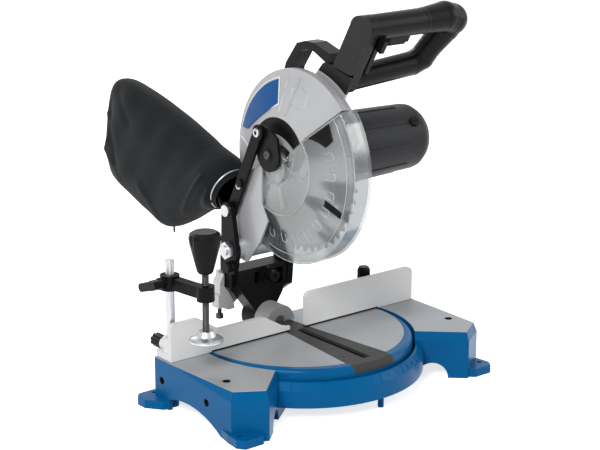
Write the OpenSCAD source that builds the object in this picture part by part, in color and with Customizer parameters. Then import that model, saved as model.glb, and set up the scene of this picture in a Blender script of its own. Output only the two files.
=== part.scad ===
// Compact mitre saw: base with turntable, tilting arm, sawing head, hold-down clamp and dust bag.
// Millimetres, +Z up, +Y to the back. The bench is z = 0 and the origin is the middle of the
// four bench bolts. Inside the modules y is measured from the fence face and h from the table top.

/* [Base] */
// height of the table top above the bench
table_h = 57; // [55:0.5:60]
// half the width over the two wings
base_half = 184.5; // [182:0.5:186]
// depth of the base behind the fence face
base_back = 30; // [28:0.5:32]
// distance of a wing's outer front corner in front of the fence face
wing_corner = 114; // [112:0.5:116]
// sideways place of a wing's front tip
wing_tip_x = 149.5; // [147:0.5:152]
// distance of a wing's front tip in front of the fence face
wing_tip_y = 136; // [134:0.5:137]
// height of the bevel along a wing's top edge
bevel_h = 11; // [8:0.5:12]
// width of the bevel along a wing's top edge
bevel_w = 4; // [3:0.5:4.5]
// height of the arch under a side wall
arch_h = 19; // [12:0.5:20]
// thickness of the wing tops
top_t = 8; // [6:0.5:9]
// thickness of the base walls
wall_t = 5; // [4:0.5:5.5]
// outer radius of the front ring
ring_r = 141; // [139:0.5:143]
// height of the ring's underside above the bench
ring_bottom = 17; // [15:0.5:19]
// drop from the table top to the ring's top edge
ring_drop = 12; // [11:0.5:13]
// sideways place of the bench bolts
bolt_x = 180; // [178:0.5:182]
// front bench bolts, from the fence face
bolt_front = -124; // [-125:0.5:-122]
// rear bench bolts, from the fence face
bolt_back = 38; // [37:0.5:39]
// radius of the bench bolt holes
bolt_hole_r = 3.25; // [3:0.05:3.5]
// thickness of the four feet
foot_t = 10; // [8:0.5:11]
// radius of the bores for side support rods
rod_bore_r = 4.1; // [3.5:0.05:4.5]
// height of the rod bores above the bench
rod_h = 32; // [30:0.5:34]

/* [Fences] */
// thickness of the fence plates
fence_t = 6; // [5:0.5:7]
// height of the right fence
fence_right_h = 43; // [40:0.5:44]
// height of the left fence's outer end
fence_left_h = 45; // [42:0.5:46]
// height of the left fence's low middle
fence_low_h = 26; // [22:0.5:27]
// half the gap between the fences at the blade
fence_gap = 12; // [11:0.5:14]
// sideways place of the clamp post bores
post_x = 172; // [170:0.5:173]
// distance of the clamp post behind the fence face
post_y = 15; // [14.5:0.25:16]

/* [Turntable] */
// radius of the turntable
table_r = 128; // [126:0.5:129]
// distance of the turntable's axis in front of the fence face
table_axis = 11; // [10:0.5:12]
// thickness of the turntable's top
table_t = 8; // [7:0.5:9]
// half the width of the insert at the fence
insert_back_w = 17; // [16:0.5:19]
// half the width of the insert at the front
insert_front_w = 30; // [28:0.5:31]
// thickness of the insert
insert_t = 4; // [3:0.25:4.5]
// radius of the hub that the head tilts on
hub_r = 20; // [18:0.5:20.5]

/* [Head] */
// chop pivot, from the fence face
pivot_y = 69; // [68.5:0.25:69.5]
// blade axis of the raised head, from the fence face
axis_y = 0.5; // [0:0.25:1]
// blade axis of the raised head, above the table
axis_h = 203.4; // [203:0.2:204.2]
// drop from the raised blade axis to the chop pivot
pivot_drop = 111.9; // [111.4:0.25:112.4]
// radius of the blade
blade_r = 105; // [102:0.5:105]
// thickness of the blade's plate
blade_t = 1.8; // [1.6:0.1:2.2]
// number of blade teeth
blade_teeth = 48; // [24:4:60]
// radius of the blade's bore
blade_bore_r = 15; // [12.7:0.1:15]
// outer radius of the lower guard
guard_r = 117; // [116.5:0.25:117.5]
// wall thickness of the lower guard
guard_t = 2.5; // [2:0.25:2.75]
// radius of the motor housing at its outer end
motor_r = 39; // [38:0.25:39.5]
// radius of the motor housing beside the gear case
motor_front_r = 42; // [41:0.25:43]
// outer end of the motor, from the blade plane
motor_end = 161; // [158:0.5:163]
// radius of the handle's grip
bar_r = 15; // [14:0.25:15.5]
// radius of the grip's swell for the palm
swell_r = 18.5; // [16:0.25:19]
// right end of the handle, from the blade plane
handle_end = 168; // [164:0.5:172]
// half the thickness of the dust bag
bag_half = 24; // [20:0.5:24]

/* [Clamp] */
// radius of the clamp post
post_r = 5; // [4.5:0.1:5.5]
// depth of the clamp post below the table
post_depth = 16; // [14:0.5:17]
// top of the clamp post above the table
post_top = 116; // [114:0.5:118]
// middle of the clamp arm above the table
arm_h = 90; // [88:0.5:91]
// height of the clamp arm
arm_tall = 17; // [15:0.5:18]
// reach of the clamp arm in front of the post
arm_reach = 58; // [56:0.5:60]
// sideways offset of the spindle from the post
arm_side = 7; // [6:0.5:8]
// radius of the clamp spindle
spindle_r = 3.75; // [3.5:0.05:4]
// radius of the clamp pad
pad_r = 19; // [17:0.5:20]
// underside of the clamp pad above the table
pad_h = 34; // [33:0.5:35]

/* [Fits] */
// radial clearance of shafts that turn or slide
run_gap = 0.05; // [0.02:0.01:0.08]
// gap between faces that move past each other
side_gap = 0.3; // [0.3:0.05:0.4]

/* [Hidden] */
$fn = 96;

// place of the fence face behind the origin
fence_y = -(bolt_front + bolt_back) / 2;

// colours
blue = [0.02, 0.30, 0.58];
pale = [0.80, 0.80, 0.79];
grey = [0.68, 0.67, 0.66];
silver = [0.72, 0.73, 0.75];
black = [0.10, 0.10, 0.11];
dark = [0.20, 0.20, 0.22];
steel = [0.62, 0.63, 0.65];
clear = [0.80, 0.85, 0.88, 0.4];

// base and turntable sizes
opening_r = table_r + 3;
ring_top = table_h - ring_drop;
floor_t = 7;
floor_top = ring_bottom + floor_t;
table_back = 58;
skirt_bottom = floor_top + side_gap;
hub_gap = 0.3;
bevel_bolt_r = 8;
pivot_bolt_r = 6;
channel_depth = 24;
fence_lift = 0.5;
boss_r = 11;
boss_top = 24;
flange_back = 29;
flange_top = 8;
rod_places = [16, -69];
thumb_h = 14;
fence_screw_x = [-154.5, -136];
fence_screw_y = 18;
fence_knob_x = 120;
fence_knob_y = 20;

// head sizes
pivot_h = axis_h - pivot_drop;
beam_top = pivot_h - 25.5;
laser_h = beam_top - 11;
lock_y = pivot_y - 7;
lock_h = pivot_h - 18.5;
motor_y = axis_y - 18.5;
motor_h = axis_h + 14;
motor_start = 26;
motor_split = motor_end - 16;
brush_x = motor_end - 27;
brush_turn = -38;
motor_slope = atan2(motor_front_r - motor_r, motor_split - motor_start - 10);
core_x0 = 54;
core_x1 = 106;
gear_x0 = 14;
gear_x1 = 20;
gear_shaft_gap = sqrt(pow(axis_y - motor_y, 2) + pow(axis_h - motor_h, 2));
gear_r = gear_shaft_gap * 0.745;
pinion_r = gear_shaft_gap * 0.24;
arbor_r = 7.5;
rotor_r = 5;
bearing_r = 10.5;
gear_boss_r = 31;
guard_inner_r = guard_r - guard_t;
upper_r = guard_r - 8.2;
upper_t = 2.4;
plate_r = upper_r - 7.3;
cap_r = 57;
fence_half = base_half - 2;
panel_t = 1.2;
wing_rest = 72;
panel_corners = [[26, 97], [13, 69.5], [73, 29.5], [97, 27], [97, 97]];
wing_neck_x = 106;
wing_neck_y = 96;
wing_hole_x = 167;
wing_hole_y = -82.5;
wing_hole_r = 4.5;
arch_back = 3;
arch_mid = -33;
arch_front = -95;
front_arch_r = 18.5;
shaft_r = 6;
pivot_boss_r = 13.5;
cheek_left = -50;
cheek_right = 38;
crank = 43;
crank_angle = 60;
cover_y = 8;
cover_h = 13;
cover_r = 20;
pin_y = axis_y + crank * cos(crank_angle);
pin_h = axis_h + crank * sin(crank_angle);
link_y = pivot_y + 4;
link_h = pivot_h + 47.3;
link_half = 7.5;
link_end_r = 9;
link_right = -39.6;
link_left = -43;
link_len = sqrt(pow(pin_y - link_y, 2) + pow(pin_h - link_h, 2));
link_angle = atan2(pin_h - link_h, pin_y - link_y);
grip_y = axis_y - 92.5;
grip_h = axis_h + 164.6;
low_y = axis_y - 56.5;
low_h = axis_h + 102.6;
handle_start = 15;
post_end = 27;
low_bar_r = 14;
low_rise = 10;
ball_extra = 0.3;
lever_x = 32;
lever_t = 6;
grip_angle = atan2(grip_h - low_h, grip_y - low_y);
grip_gap = sqrt(pow(grip_h - low_h, 2) + pow(grip_y - low_y, 2));
port_y = axis_y + 115.5;
port_h = axis_h - 47.4;
port_x = -18;
port_tilt = 23;
port_r = 29;
port_flank = link_right + 0.4;
strap_screw_places = [[42.5, 93.6], [-34.5, 112.6]];

// clamp sizes
spindle_x = -post_x + arm_side;
spindle_y = post_y - arm_reach;
knob_bottom = 113;
knob_top = 160;
pad_t = 6;

// places children with y from the fence face and z from the bench
module on_bench() {
  translate([0, fence_y, 0]) children();
}

// places children with y from the fence face and z from the table top
module on_table() {
  translate([0, fence_y, table_h]) children();
}

// places children with y and z from the blade axis of the raised head
module on_axis() {
  translate([0, fence_y + axis_y, table_h + axis_h]) children();
}

// places children with y and z from the motor axis
module on_motor() {
  translate([0, fence_y + motor_y, table_h + motor_h]) children();
}

// round bar along x
module rod_x(x0, x1, r) {
  translate([x0, 0, 0]) rotate([0, 90, 0]) cylinder(h = x1 - x0, r = r);
}

// round bar along y
module rod_y(y0, y1, r) {
  translate([0, y0, 0]) rotate([-90, 0, 0]) cylinder(h = y1 - y0, r = r);
}

// ring along x
module ring_x(x0, x1, r, bore) {
  difference() {
    rod_x(x0, x1, r);
    rod_x(x0 - 1, x1 + 1, bore);
  }
}

// a flat (y, h) outline spread along x
module slab_x(x0, x1) {
  translate([x0, 0, 0]) rotate([90, 0, 90]) linear_extrude(x1 - x0) children();
}

// a flat (x, h) outline spread along y
module slab_y(y0, y1) {
  translate([0, y1, 0]) rotate([90, 0, 0]) linear_extrude(y1 - y0) children();
}

// an (r, x) outline turned round the x axis between two angles, counted from +y towards +z
module turn_x(from, to) {
  rotate([0, 90, 0]) rotate([0, 0, from + 90]) rotate_extrude(angle = to - from) children();
}

// an (r, x) outline turned all the way round the x axis
module turn_x_full() {
  rotate([0, 90, 0]) rotate_extrude() children();
}

// shows the children and their mirror image across x = 0
module both_sides() {
  children();
  mirror([1, 0, 0]) children();
}

// outline of the left wing, drawn in by a wall thickness t
module wing_outline(t) {
  polygon([[-base_half + t, base_back - t], [-base_half + t, -wing_corner + t * 0.5],
    [-wing_tip_x - t * 0.1, -wing_tip_y + t * 1.2], [-wing_neck_x - t * 0.2, -wing_neck_y + t * 1.4],
    [-60 - t, -60 + t], [-60 - t, base_back - t]]);
}

// one wing with its feet, rod bores and clamp hole, left side
module wing() {
  difference() {
    union() {
      linear_extrude(table_h) wing_outline(0);
      front_foot();
      rear_foot();
    }
    difference() {
      translate([0, 0, -1]) linear_extrude(table_h - top_t + 1) wing_outline(wall_t);
      translate([0, -table_axis, -2]) cylinder(h = table_h, r = ring_r);
      for (y = rod_places) translate([0, y, rod_h]) rod_x(-base_half, -base_half + 24, 8);
      translate([-post_x, post_y, 0]) cylinder(h = table_h, r = 8);
    }
    side_arch();
    front_arch();
    wing_bevels();
    for (y = rod_places) translate([0, y, rod_h]) rod_x(-base_half - 1, -base_half + 25, rod_bore_r);
    translate([-post_x, post_y, table_h - post_depth - 1]) cylinder(h = table_h, r = post_r + 0.5);
    translate([-wing_hole_x, wing_hole_y, table_h - top_t - 1]) cylinder(h = top_t + 2, r = wing_hole_r);
    for (y = [bolt_front, bolt_back]) translate([-bolt_x, y, -1])
      cylinder(h = foot_t + 20, r = bolt_hole_r);
  }
}

// low arch under the left wing's side wall
module side_arch() {
  reach = arch_mid - arch_front;
  r = (reach * reach + arch_h * arch_h) / (2 * arch_h);
  intersection() {
    translate([0, arch_mid, arch_h - r]) rod_x(-base_half - 1, -base_half + wall_t + 1, r);
    translate([-base_half - 2, arch_front, -1]) cube([wall_t + 4, arch_back - arch_front, arch_h + 2]);
  }
}

// round arch under the left wing's inner front wall, beside the ring
module front_arch() {
  wall_turn = atan2(wing_tip_y - wing_neck_y, wing_tip_x - wing_neck_x);
  translate([-wing_neck_x, -wing_neck_y, 0]) rotate([0, 0, wall_turn])
    translate([-front_arch_r + 1.5, 0, 0]) rod_y(-6, wall_t + 5, front_arch_r);
}

// one bevel cut along a wall from a to b, on the wall's left when looking from a to b
module wall_bevel(a, b) {
  turn = atan2(b[1] - a[1], b[0] - a[0]);
  slope = bevel_h / bevel_w;
  translate([a[0], a[1], table_h]) rotate([0, 0, turn]) slab_x(-30, 200)
    polygon([[-1, -bevel_h - slope], [-1, 1], [bevel_w + 1 / slope, 1]]);
}

// bevels round the top of the left wing; the one along the side wall runs out at the fence
module wing_bevels() {
  side_turn = atan2(bevel_w, wing_corner);
  slope = bevel_h / bevel_w;
  wall_bevel([-base_half, -wing_corner], [-wing_tip_x, -wing_tip_y]);
  wall_bevel([-wing_tip_x, -wing_tip_y], [-wing_neck_x, -wing_neck_y]);
  translate([-base_half, 0, table_h]) rotate([0, 0, side_turn]) slab_y(-200, 0)
    polygon([[1 / slope, 1], [-bevel_w - 2, 1], [-bevel_w - 2, -bevel_h - 2 * slope]]);
}

// front foot of the left wing
module front_foot() {
  difference() {
    linear_extrude(foot_t)
      polygon([[-base_half, -96], [-188, -112], [-190, -130], [-184, -139], [-160, -139], [-142, -122],
        [-150, -100]]);
    translate([0, 0, -1]) linear_extrude(foot_t - 4)
      polygon([[-168, -112], [-168, -132], [-158, -132], [-150, -118]]);
  }
}

// rear foot of the left wing
module rear_foot() {
  linear_extrude(foot_t)
    polygon([[-base_half + 1, 6], [-base_half - 4, 8], [-202, 26], [-202, 40], [-196, 47], [-168, 47],
      [-164, base_back - 1], [-base_half + 1, base_back - 1]]);
}

// the front ring with its floor, cut off behind the fence
module front_ring() {
  intersection() {
    translate([0, -table_axis, 0]) rotate_extrude()
      polygon([[pivot_bolt_r + run_gap + 4, ring_bottom], [ring_r, ring_bottom], [ring_r, ring_top - 8],
        [ring_r - 7, ring_top], [opening_r, ring_top], [opening_r, floor_top],
        [pivot_bolt_r + run_gap + 4, floor_top]]);
    translate([-200, -200, 0]) cube([400, 200 + base_back, table_h]);
  }
  translate([10, -table_axis - 126, 0]) cylinder(h = ring_bottom + 1, r = 3.5);
}

// raised marks of the mitre scale on the ring's bevelled edge
module mitre_marks() {
  mark_slope = atan2(8, 7);
  for (a = [-45:5:45])
    translate([0, -table_axis, 0]) rotate([0, 0, a])
      translate([0, -ring_r + 3.5, ring_top - 4]) rotate([mark_slope, 0, 0])
        translate([-0.6, (a % 15 == 0) ? -4.5 : -2.5, -0.5]) cube([1.2, (a % 15 == 0) ? 9 : 5, 1]);
}

module base_casting() {
  color(blue) on_bench() {
    difference() {
      union() {
        both_sides() wing();
        front_ring();
        mitre_marks();
        translate([0, -table_axis, ring_bottom]) cylinder(h = floor_t, r = 20);
      }
      translate([0, -table_axis, floor_top]) cylinder(h = table_h, r = opening_r);
      translate([0, -table_axis, 0]) cylinder(h = table_h, r = pivot_bolt_r);
    }
  }
}

// rear flange, post boss and rib of a fence, left side; lug_in is the flange's inner end
module fence_back(lug_in) {
  translate([-fence_half, fence_t, fence_lift])
    cube([fence_half - lug_in, flange_back - fence_t, flange_top]);
  translate([-post_x, post_y, fence_lift]) cylinder(h = boss_top, r = boss_r - 1.5);
  slab_x(-147, -141.5)
    polygon([[fence_t, fence_lift], [flange_back, fence_lift], [flange_back, flange_top],
      [fence_t, fence_low_h]]);
}

// bore for the clamp post, left side
module post_bore() {
  translate([-post_x, post_y, -1]) cylinder(h = boss_top + 10, r = post_r + run_gap);
}

// holes for the two screws that hold a fence, left side
module fence_screw_holes() {
  for (x = fence_screw_x) translate([x, fence_screw_y, -1]) cylinder(h = flange_top + 4, r = 3);
}

module fence_left() {
  color(pale) on_table() difference() {
    union() {
      slab_y(0, fence_t)
        polygon([[-fence_half, fence_lift], [-fence_half, fence_left_h - 6],
          [-fence_half + 2, fence_left_h - 2],
          [-fence_half + 6, fence_left_h], [-146, fence_left_h], [-142, fence_left_h - 1.5],
          [-118, fence_low_h + 1.5],
          [-114, fence_low_h], [-52, fence_low_h], [-47, fence_low_h - 2], [-20, 8], [-fence_gap, 7],
          [-fence_gap, fence_lift]]);
      fence_back(130);
      translate([-post_x, 0, thumb_h]) rod_y(post_y, flange_back, 7);
    }
    post_bore();
    fence_screw_holes();
    translate([-post_x, 0, thumb_h]) rod_y(post_y, flange_back + 1, 3 + run_gap);
    translate([-fence_gap, 0, -1]) rotate([0, 0, 30]) translate([-2, fence_t * 0.6, 0]) cube([14, 10, 40]);
  }
}

module fence_right() {
  color(pale) on_table() difference() {
    union() {
      slab_y(0, fence_t)
        polygon([[fence_gap, fence_lift], [fence_gap, fence_right_h - 6],
          [fence_gap + 2, fence_right_h - 2],
          [fence_gap + 6, fence_right_h], [fence_half - 6, fence_right_h],
          [fence_half - 2, fence_right_h - 2],
          [fence_half, fence_right_h - 6], [fence_half, fence_lift]]);
      mirror([1, 0, 0]) fence_back(108);
    }
    mirror([1, 0, 0]) post_bore();
    mirror([1, 0, 0]) fence_screw_holes();
    translate([fence_knob_x, fence_knob_y, -1]) cylinder(h = flange_top + 4, r = 3 + run_gap);
  }
}

// one hexagon-socket screw standing on z = 0, with its shank below
module socket_screw(head_r, head_h, shank_r, shank_l) {
  difference() {
    cylinder(h = head_h, r = head_r);
    translate([0, 0, head_h * 0.4]) cylinder(h = head_h, r = head_r * 0.55, $fn = 6);
  }
  translate([0, 0, -shank_l]) cylinder(h = shank_l, r = shank_r);
}

module fence_screws() {
  color(steel) on_table() both_sides()
    for (x = fence_screw_x) translate([x, fence_screw_y, fence_lift + flange_top])
      socket_screw(4.5, 5, 3, flange_top);
}

module fence_knob() {
  color(black) on_table() translate([fence_knob_x, fence_knob_y, 0]) {
    translate([0, 0, fence_lift + 0.5]) cylinder(h = 24, r = 3);
    difference() {
      translate([0, 0, 24]) rotate_extrude() polygon([[0, 0], [5, 0], [8, 4], [8, 22], [6, 26], [0, 26]]);
      for (a = [0:45:315]) rotate([0, 0, a]) translate([9, 0, 30]) cylinder(h = 30, r = 2);
    }
  }
}

module turntable_bolt() {
  color(steel) on_bench() translate([0, -table_axis, 0]) {
    translate([0, 0, ring_bottom - 6]) cylinder(h = 6, r = 10, $fn = 6);
    translate([0, 0, ring_bottom])
      cylinder(h = table_h - channel_depth - 1.5 - ring_bottom, r = pivot_bolt_r);
  }
}

// outline of the insert, drawn in by t
module insert_outline(t) {
  polygon([[-insert_back_w + t + 2, 34 - t], [-insert_back_w + t, 0], [-insert_front_w + t, -124 + t],
    [insert_front_w - t, -124 + t], [insert_back_w - t, 0], [insert_back_w - t - 2, 34 - t]]);
}

// places children at the four insert screws
module insert_screw_places() {
  for (s = [-1, 1]) {
    translate([s * 20, -106, 0]) children();
    translate([s * 11.5, 26, 0]) children();
  }
}

module turntable() {
  color(grey) on_table() {
    difference() {
      union() {
        intersection() {
          translate([0, -table_axis, -table_h]) rotate_extrude()
            polygon([[0, table_h - table_t], [table_r - 6, table_h - table_t], [table_r - 6, skirt_bottom],
              [table_r, skirt_bottom], [table_r, table_h - 5], [table_r - 0.4, table_h - 3.1],
              [table_r - 1.5, table_h - 1.5], [table_r - 3.1, table_h - 0.4], [table_r - 5, table_h],
              [0, table_h]]);
          translate([-200, -200, -table_h]) cube([400, 200 + table_back, table_h]);
        }
        translate([0, -table_axis, skirt_bottom - table_h])
          cylinder(h = table_h - channel_depth - skirt_bottom, r = 18);
        rod_y(34, table_back, hub_r + 1);
        translate([-hub_r - 1, 34, -table_h + skirt_bottom])
          cube([2 * hub_r + 2, table_back - 34, table_h - skirt_bottom - 1]);
        translate([-25, -130, -channel_depth - 4]) cube([50, 160, 4]);
        for (s = [-1, 1]) translate([s * 24 - 2, -128, -channel_depth - 4]) cube([4, 162, channel_depth]);
      }
      translate([0, 0, -insert_t - side_gap]) linear_extrude(insert_t + 1) insert_outline(-0.4);
      translate([-9, -126, -channel_depth]) cube([25, 152, channel_depth + 1]);
      translate([0, -table_axis, -table_h])
        cylinder(h = table_h - channel_depth - 1, r = pivot_bolt_r + run_gap);
      insert_screw_places() translate([0, 0, -20]) cylinder(h = 20, r = 2);
      rod_y(33, table_back + 1, bevel_bolt_r);
    }
  }
}

module table_insert() {
  color(dark) on_table() difference() {
    translate([0, 0, -insert_t]) linear_extrude(insert_t) insert_outline(0);
    translate([-3, -121, -insert_t - 1]) cube([10, 121, insert_t + 2]);
    insert_screw_places() {
      translate([0, 0, -insert_t - 1]) cylinder(h = insert_t + 2, r = 2);
      translate([0, 0, -1.6]) cylinder(h = 3, r = 4.2);
    }
  }
}

module insert_screws() {
  color(steel) on_table() insert_screw_places() {
    difference() {
      translate([0, 0, -1.6]) cylinder(h = 1.4, r = 4.2);
      for (a = [0, 90]) rotate([0, 0, a]) translate([-3, -0.5, -0.9]) cube([6, 1, 2]);
    }
    translate([0, 0, -12]) cylinder(h = 10.4, r = 2);
  }
}

module bevel_bolt() {
  color(steel) on_table() {
    rod_y(36, 85, bevel_bolt_r);
    translate([0, 85, 0]) rotate([-90, 0, 0]) cylinder(h = 7, r = 13, $fn = 6);
  }
}

// outline (y, h) of a pivot cheek; lift is its lower edge at the front and low its lower edge at the back
module cheek_outline(lift, low) {
  translate([pivot_y, pivot_h]) circle(r = 16);
  polygon([[table_back + 0.5, lift], [pivot_y - 16, pivot_h], [pivot_y + 16, pivot_h], [86, low + 16],
    [86, low], [76, low]]);
}

module tilt_arm() {
  front = table_back + hub_gap;
  back = 84.7;
  color(black) on_table() difference() {
    union() {
      rod_y(front, back, hub_r);
      slab_y(front, back)
        polygon([[-16, 8], [-34, beam_top * 0.485], [-44.5, beam_top - 18], [-44.5, beam_top],
          [32, beam_top],
          [30, beam_top - 16], [23, beam_top * 0.44], [12, 12]]);
      slab_x(cheek_left, -44) {
        cheek_outline(beam_top - 3, beam_top - 3);
        translate([link_y, link_h]) circle(r = 10);
        polygon([[link_y - 10, link_h], [link_y + 10, link_h], [pivot_y + 15, pivot_h],
          [pivot_y - 15, pivot_h]]);
      }
      slab_x(30, cheek_right) cheek_outline(beam_top - 30, beam_top - 42);
      slab_y(64, 80)
        polygon([[-44.5, beam_top - 18], [-44.5, beam_top], [-50, beam_top], [-50, beam_top - 22]]);
      slab_y(64, 80)
        polygon([[30, beam_top - 22], [30, beam_top], [38, beam_top], [38, beam_top - 14]]);
      translate([0, 0, laser_h]) rod_y(front - 4, front + 1, 10);
    }
    translate([0, pivot_y, pivot_h]) rod_x(cheek_left - 1, cheek_right + 1, shaft_r);
    translate([0, link_y, link_h]) rod_x(cheek_left - 1, -40, 4);
    translate([0, lock_y, lock_h]) rod_x(cheek_left - 1, -40, 3 + run_gap);
    rod_y(front - 1, back + 1, bevel_bolt_r + run_gap);
    translate([0, 0, laser_h]) rod_y(front - 5, front + 16, 7);
    translate([-20, front - 1, beam_top - 20]) cube([8, 10, 14]);
    translate([11, front - 1, beam_top - 26]) cube([12, 10, 20]);
  }
}

module tilt_bracket() {
  color(silver) on_table() difference() {
    union() {
      slab_y(76.5, 90)
        polygon([[-58, 36], [-58, 50], [-52, 60], [-51, 60], [-51, 44], [-46, 38], [-38, 24], [-36, 14],
          [-46, 14], [-54, 18]]);
      translate([-60, 76.5, 18]) cube([12, 13.5, 16]);
      slab_y(84.8, 90) polygon([[-54, 18], [-54, 62], [-20, 62], [-14, 30], [-36, 14]]);
    }
    translate([-54, 83, 0]) translate([0, 0, 10]) cylinder(h = 30, r = 2.5);
    translate([-34, 84, 45]) rod_y(0, 10, 2.5);
  }
}

module bevel_stop_screw() {
  color(black) on_table() {
    translate([-54, 83, 9]) cylinder(h = 28, r = 2.5);
    translate([-54, 83, 4]) cylinder(h = 5, r = 5, $fn = 6);
    translate([-34, 90, 45]) rod_y(0, 4, 5);
    translate([-34, 85, 45]) rod_y(0, 5, 2.5);
  }
}

module pivot_shaft() {
  color(steel) on_table() translate([0, pivot_y, pivot_h]) {
    rod_x(cheek_left, cheek_right + 6, shaft_r);
    translate([cheek_left - 6, 0, 0]) rotate([0, 90, 0]) cylinder(h = 6, r = 11, $fn = 6);
    rod_x(cheek_left - 8, cheek_left - 6, 6);
    translate([cheek_right, 0, 0]) rotate([0, 90, 0]) difference() {
      cylinder(h = 8, r = 11, $fn = 6);
      translate([0, 0, -1]) cylinder(h = 7, r = shaft_r);
    }
  }
}

module return_spring() {
  color(steel) on_table() translate([0, pivot_y, pivot_h]) ring_x(-26, 20, 9.5, 7.5);
}

module laser_module() {
  color(black) on_table() translate([0, 0, laser_h]) difference() {
    rod_y(table_back - 14, table_back + 14, 7);
    rod_y(table_back - 15, table_back - 12, 3);
  }
}

module head_lock_pin() {
  color(black) on_table() translate([0, lock_y, lock_h]) {
    rod_x(cheek_left - 1, -43.4, 3);
    difference() {
      rod_x(cheek_left - 11, cheek_left - 1, 6.5);
      rod_x(cheek_left - 7, cheek_left - 5, 10);
    }
    rod_x(cheek_left - 8, cheek_left - 4, 4.5);
  }
}

module link_pin() {
  color(steel) on_table() translate([0, link_y, link_h]) {
    rod_x(cheek_left, -38.6, 4);
    rod_x(cheek_left - 3, cheek_left, 7);
  }
}

// silver upper guard round the blade, with its hub boss
module upper_guard() {
  turn_x(-25, 137)
    polygon([[24, 6], [upper_r, 6], [upper_r, -3], [cap_r, -25.5], [24, -25.5], [24, -23.1],
      [cap_r - 1, -23.1],
      [upper_r - upper_t, -2], [upper_r - upper_t, 4], [24, 4]]);
  rod_x(4, 12, gear_boss_r - run_gap);
  for (a = [8, 84, 96])
    turn_x(a - 1, a + 1)
      polygon([[cap_r + 3, -22.5], [cap_r + 3, -25.6], [upper_r - 8, -8.2], [upper_r - 8, -5]]);
}

// flat back plate, gear case and arm, in y and h from the blade axis
module gear_side() {
  slab_x(11, 18) intersection() {
    circle(r = plate_r);
    polygon([[0, -20], [120, -20], [120, 120], [-120, 120], [-120, 60], [-30, -20]]);
  }
  rod_x(11, motor_start, 34);
  translate([0, motor_y - axis_y, motor_h - axis_h]) rod_x(18, motor_start, motor_front_r + 2);
  slab_x(11, motor_start)
    polygon([[-30, -12], [34, 14], [pivot_y - axis_y + 13, pivot_h - axis_h + 4],
      [pivot_y - axis_y + 8, pivot_h - axis_h - 10], [pivot_y - axis_y - 12, pivot_h - axis_h - 6],
      [18, -60]]);
  slab_x(11, handle_start)
    polygon([[-62, 78], [-5, 92], [-30, 119], [-38.5, 119.3], [-75.5, 109.6], [-78, 104]]);
}

// web and chute behind the blade, in y and h from the blade axis
module rear_web() {
  difference() {
    slab_x(-32, motor_start)
      polygon([[57, -112], [76, -124], [84, -108], [100, -84], [112, -60], [126, -40], [108, -9.4],
        [95, -6], [60, -80]]);
    rod_x(-33, 10.5, guard_r + 1.5);
  }
}

// flat silver plate on the left of the guard, in y and h from the blade axis
module side_plate() {
  slab_x(-34.5, -32)
    polygon([[24.5, -3.4], [24.5, -50.4], [13.5, -68.4], [28.5, -96.9], [54, -126.8], [61.5, -125.4],
      [81.5, -115.4], [83.5, -99.4], [95.5, -75.4], [87.5, -63.4], [66.5, -52.9], [47, -12.8]]);
}

// hollow of the dust port through the rear web
module port_hollow(r, from, to) {
  translate([port_x, port_y, port_h]) rotate([port_tilt, 0, 0]) rod_y(from, to, r);
}

module head_casting() {
  color(silver) difference() {
    union() {
      on_axis() {
        upper_guard();
        gear_side();
        rear_web();
        side_plate();
      }
      on_table() {
        translate([0, pivot_y, pivot_h]) rod_x(-43.4, 29.4, pivot_boss_r);
        difference() {
          port_hollow(port_r - 6, -22, -2);
          translate([0, axis_y, axis_h]) rod_x(-60, 10.8, guard_r + 1.2);
          translate([port_flank - 20, port_y - 60, port_h - 60]) cube([20, 120, 120]);
        }
      }
    }
    on_axis() {
      rod_x(gear_x0 - 1, gear_x1 + 1.5, gear_r + 1.5);
      rod_x(0, 24, arbor_r + 0.5);
      rod_x(4.8, gear_x0, 11);
      rod_x(gear_x1, 24.5, 11);
    }
    on_motor() {
      rod_x(gear_x0 - 1, 20, pinion_r + 2);
      rod_x(19, motor_start + 1, bearing_r);
    }
    on_table() {
      translate([0, pivot_y, pivot_h]) {
        rod_x(-44, 30, shaft_r + run_gap);
        rod_x(-26, 20, 9.5);
      }
      port_hollow(port_r - 10, -40, 5);
      port_hollow(port_r + 5, -4, 60);
    }
  }
}

module guard_panel() {
  inner = cap_r + 4;
  outer = 98;
  slope = (25.5 - 3) / (upper_r - cap_r);
  x_in = -3.05 - (upper_r - inner) * slope;
  x_out = -3.05 - (upper_r - outer) * slope;
  color(blue) on_axis() intersection() {
    turn_x(10, 90)
      polygon([[inner, x_in], [outer, x_out], [outer, x_out - panel_t], [inner, x_in - panel_t]]);
    slab_x(-40, 0) polygon(panel_corners);
  }
}

module motor_housing() {
  color(dark) on_motor() difference() {
    union() {
      turn_x_full()
        polygon([[motor_front_r - 3, motor_start], [motor_front_r + 1.5, motor_start],
          [motor_front_r + 1.5, motor_start + 8], [motor_front_r, motor_start + 10],
          [motor_r, motor_split], [motor_r - 3, motor_split]]);
      for (a = [20:40:340]) rotate([a, 0, 0])
        translate([motor_start + 14, motor_front_r - 0.8, -2]) rotate([0, 0, -motor_slope])
          cube([84, 1.6, 4]);
    }
    for (s = [-1, 1]) rotate([brush_turn, 0, 0]) translate([brush_x, 0, 0])
      rod_y(s * motor_r - 6, s * motor_r + 6, 6);
  }
}

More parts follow.
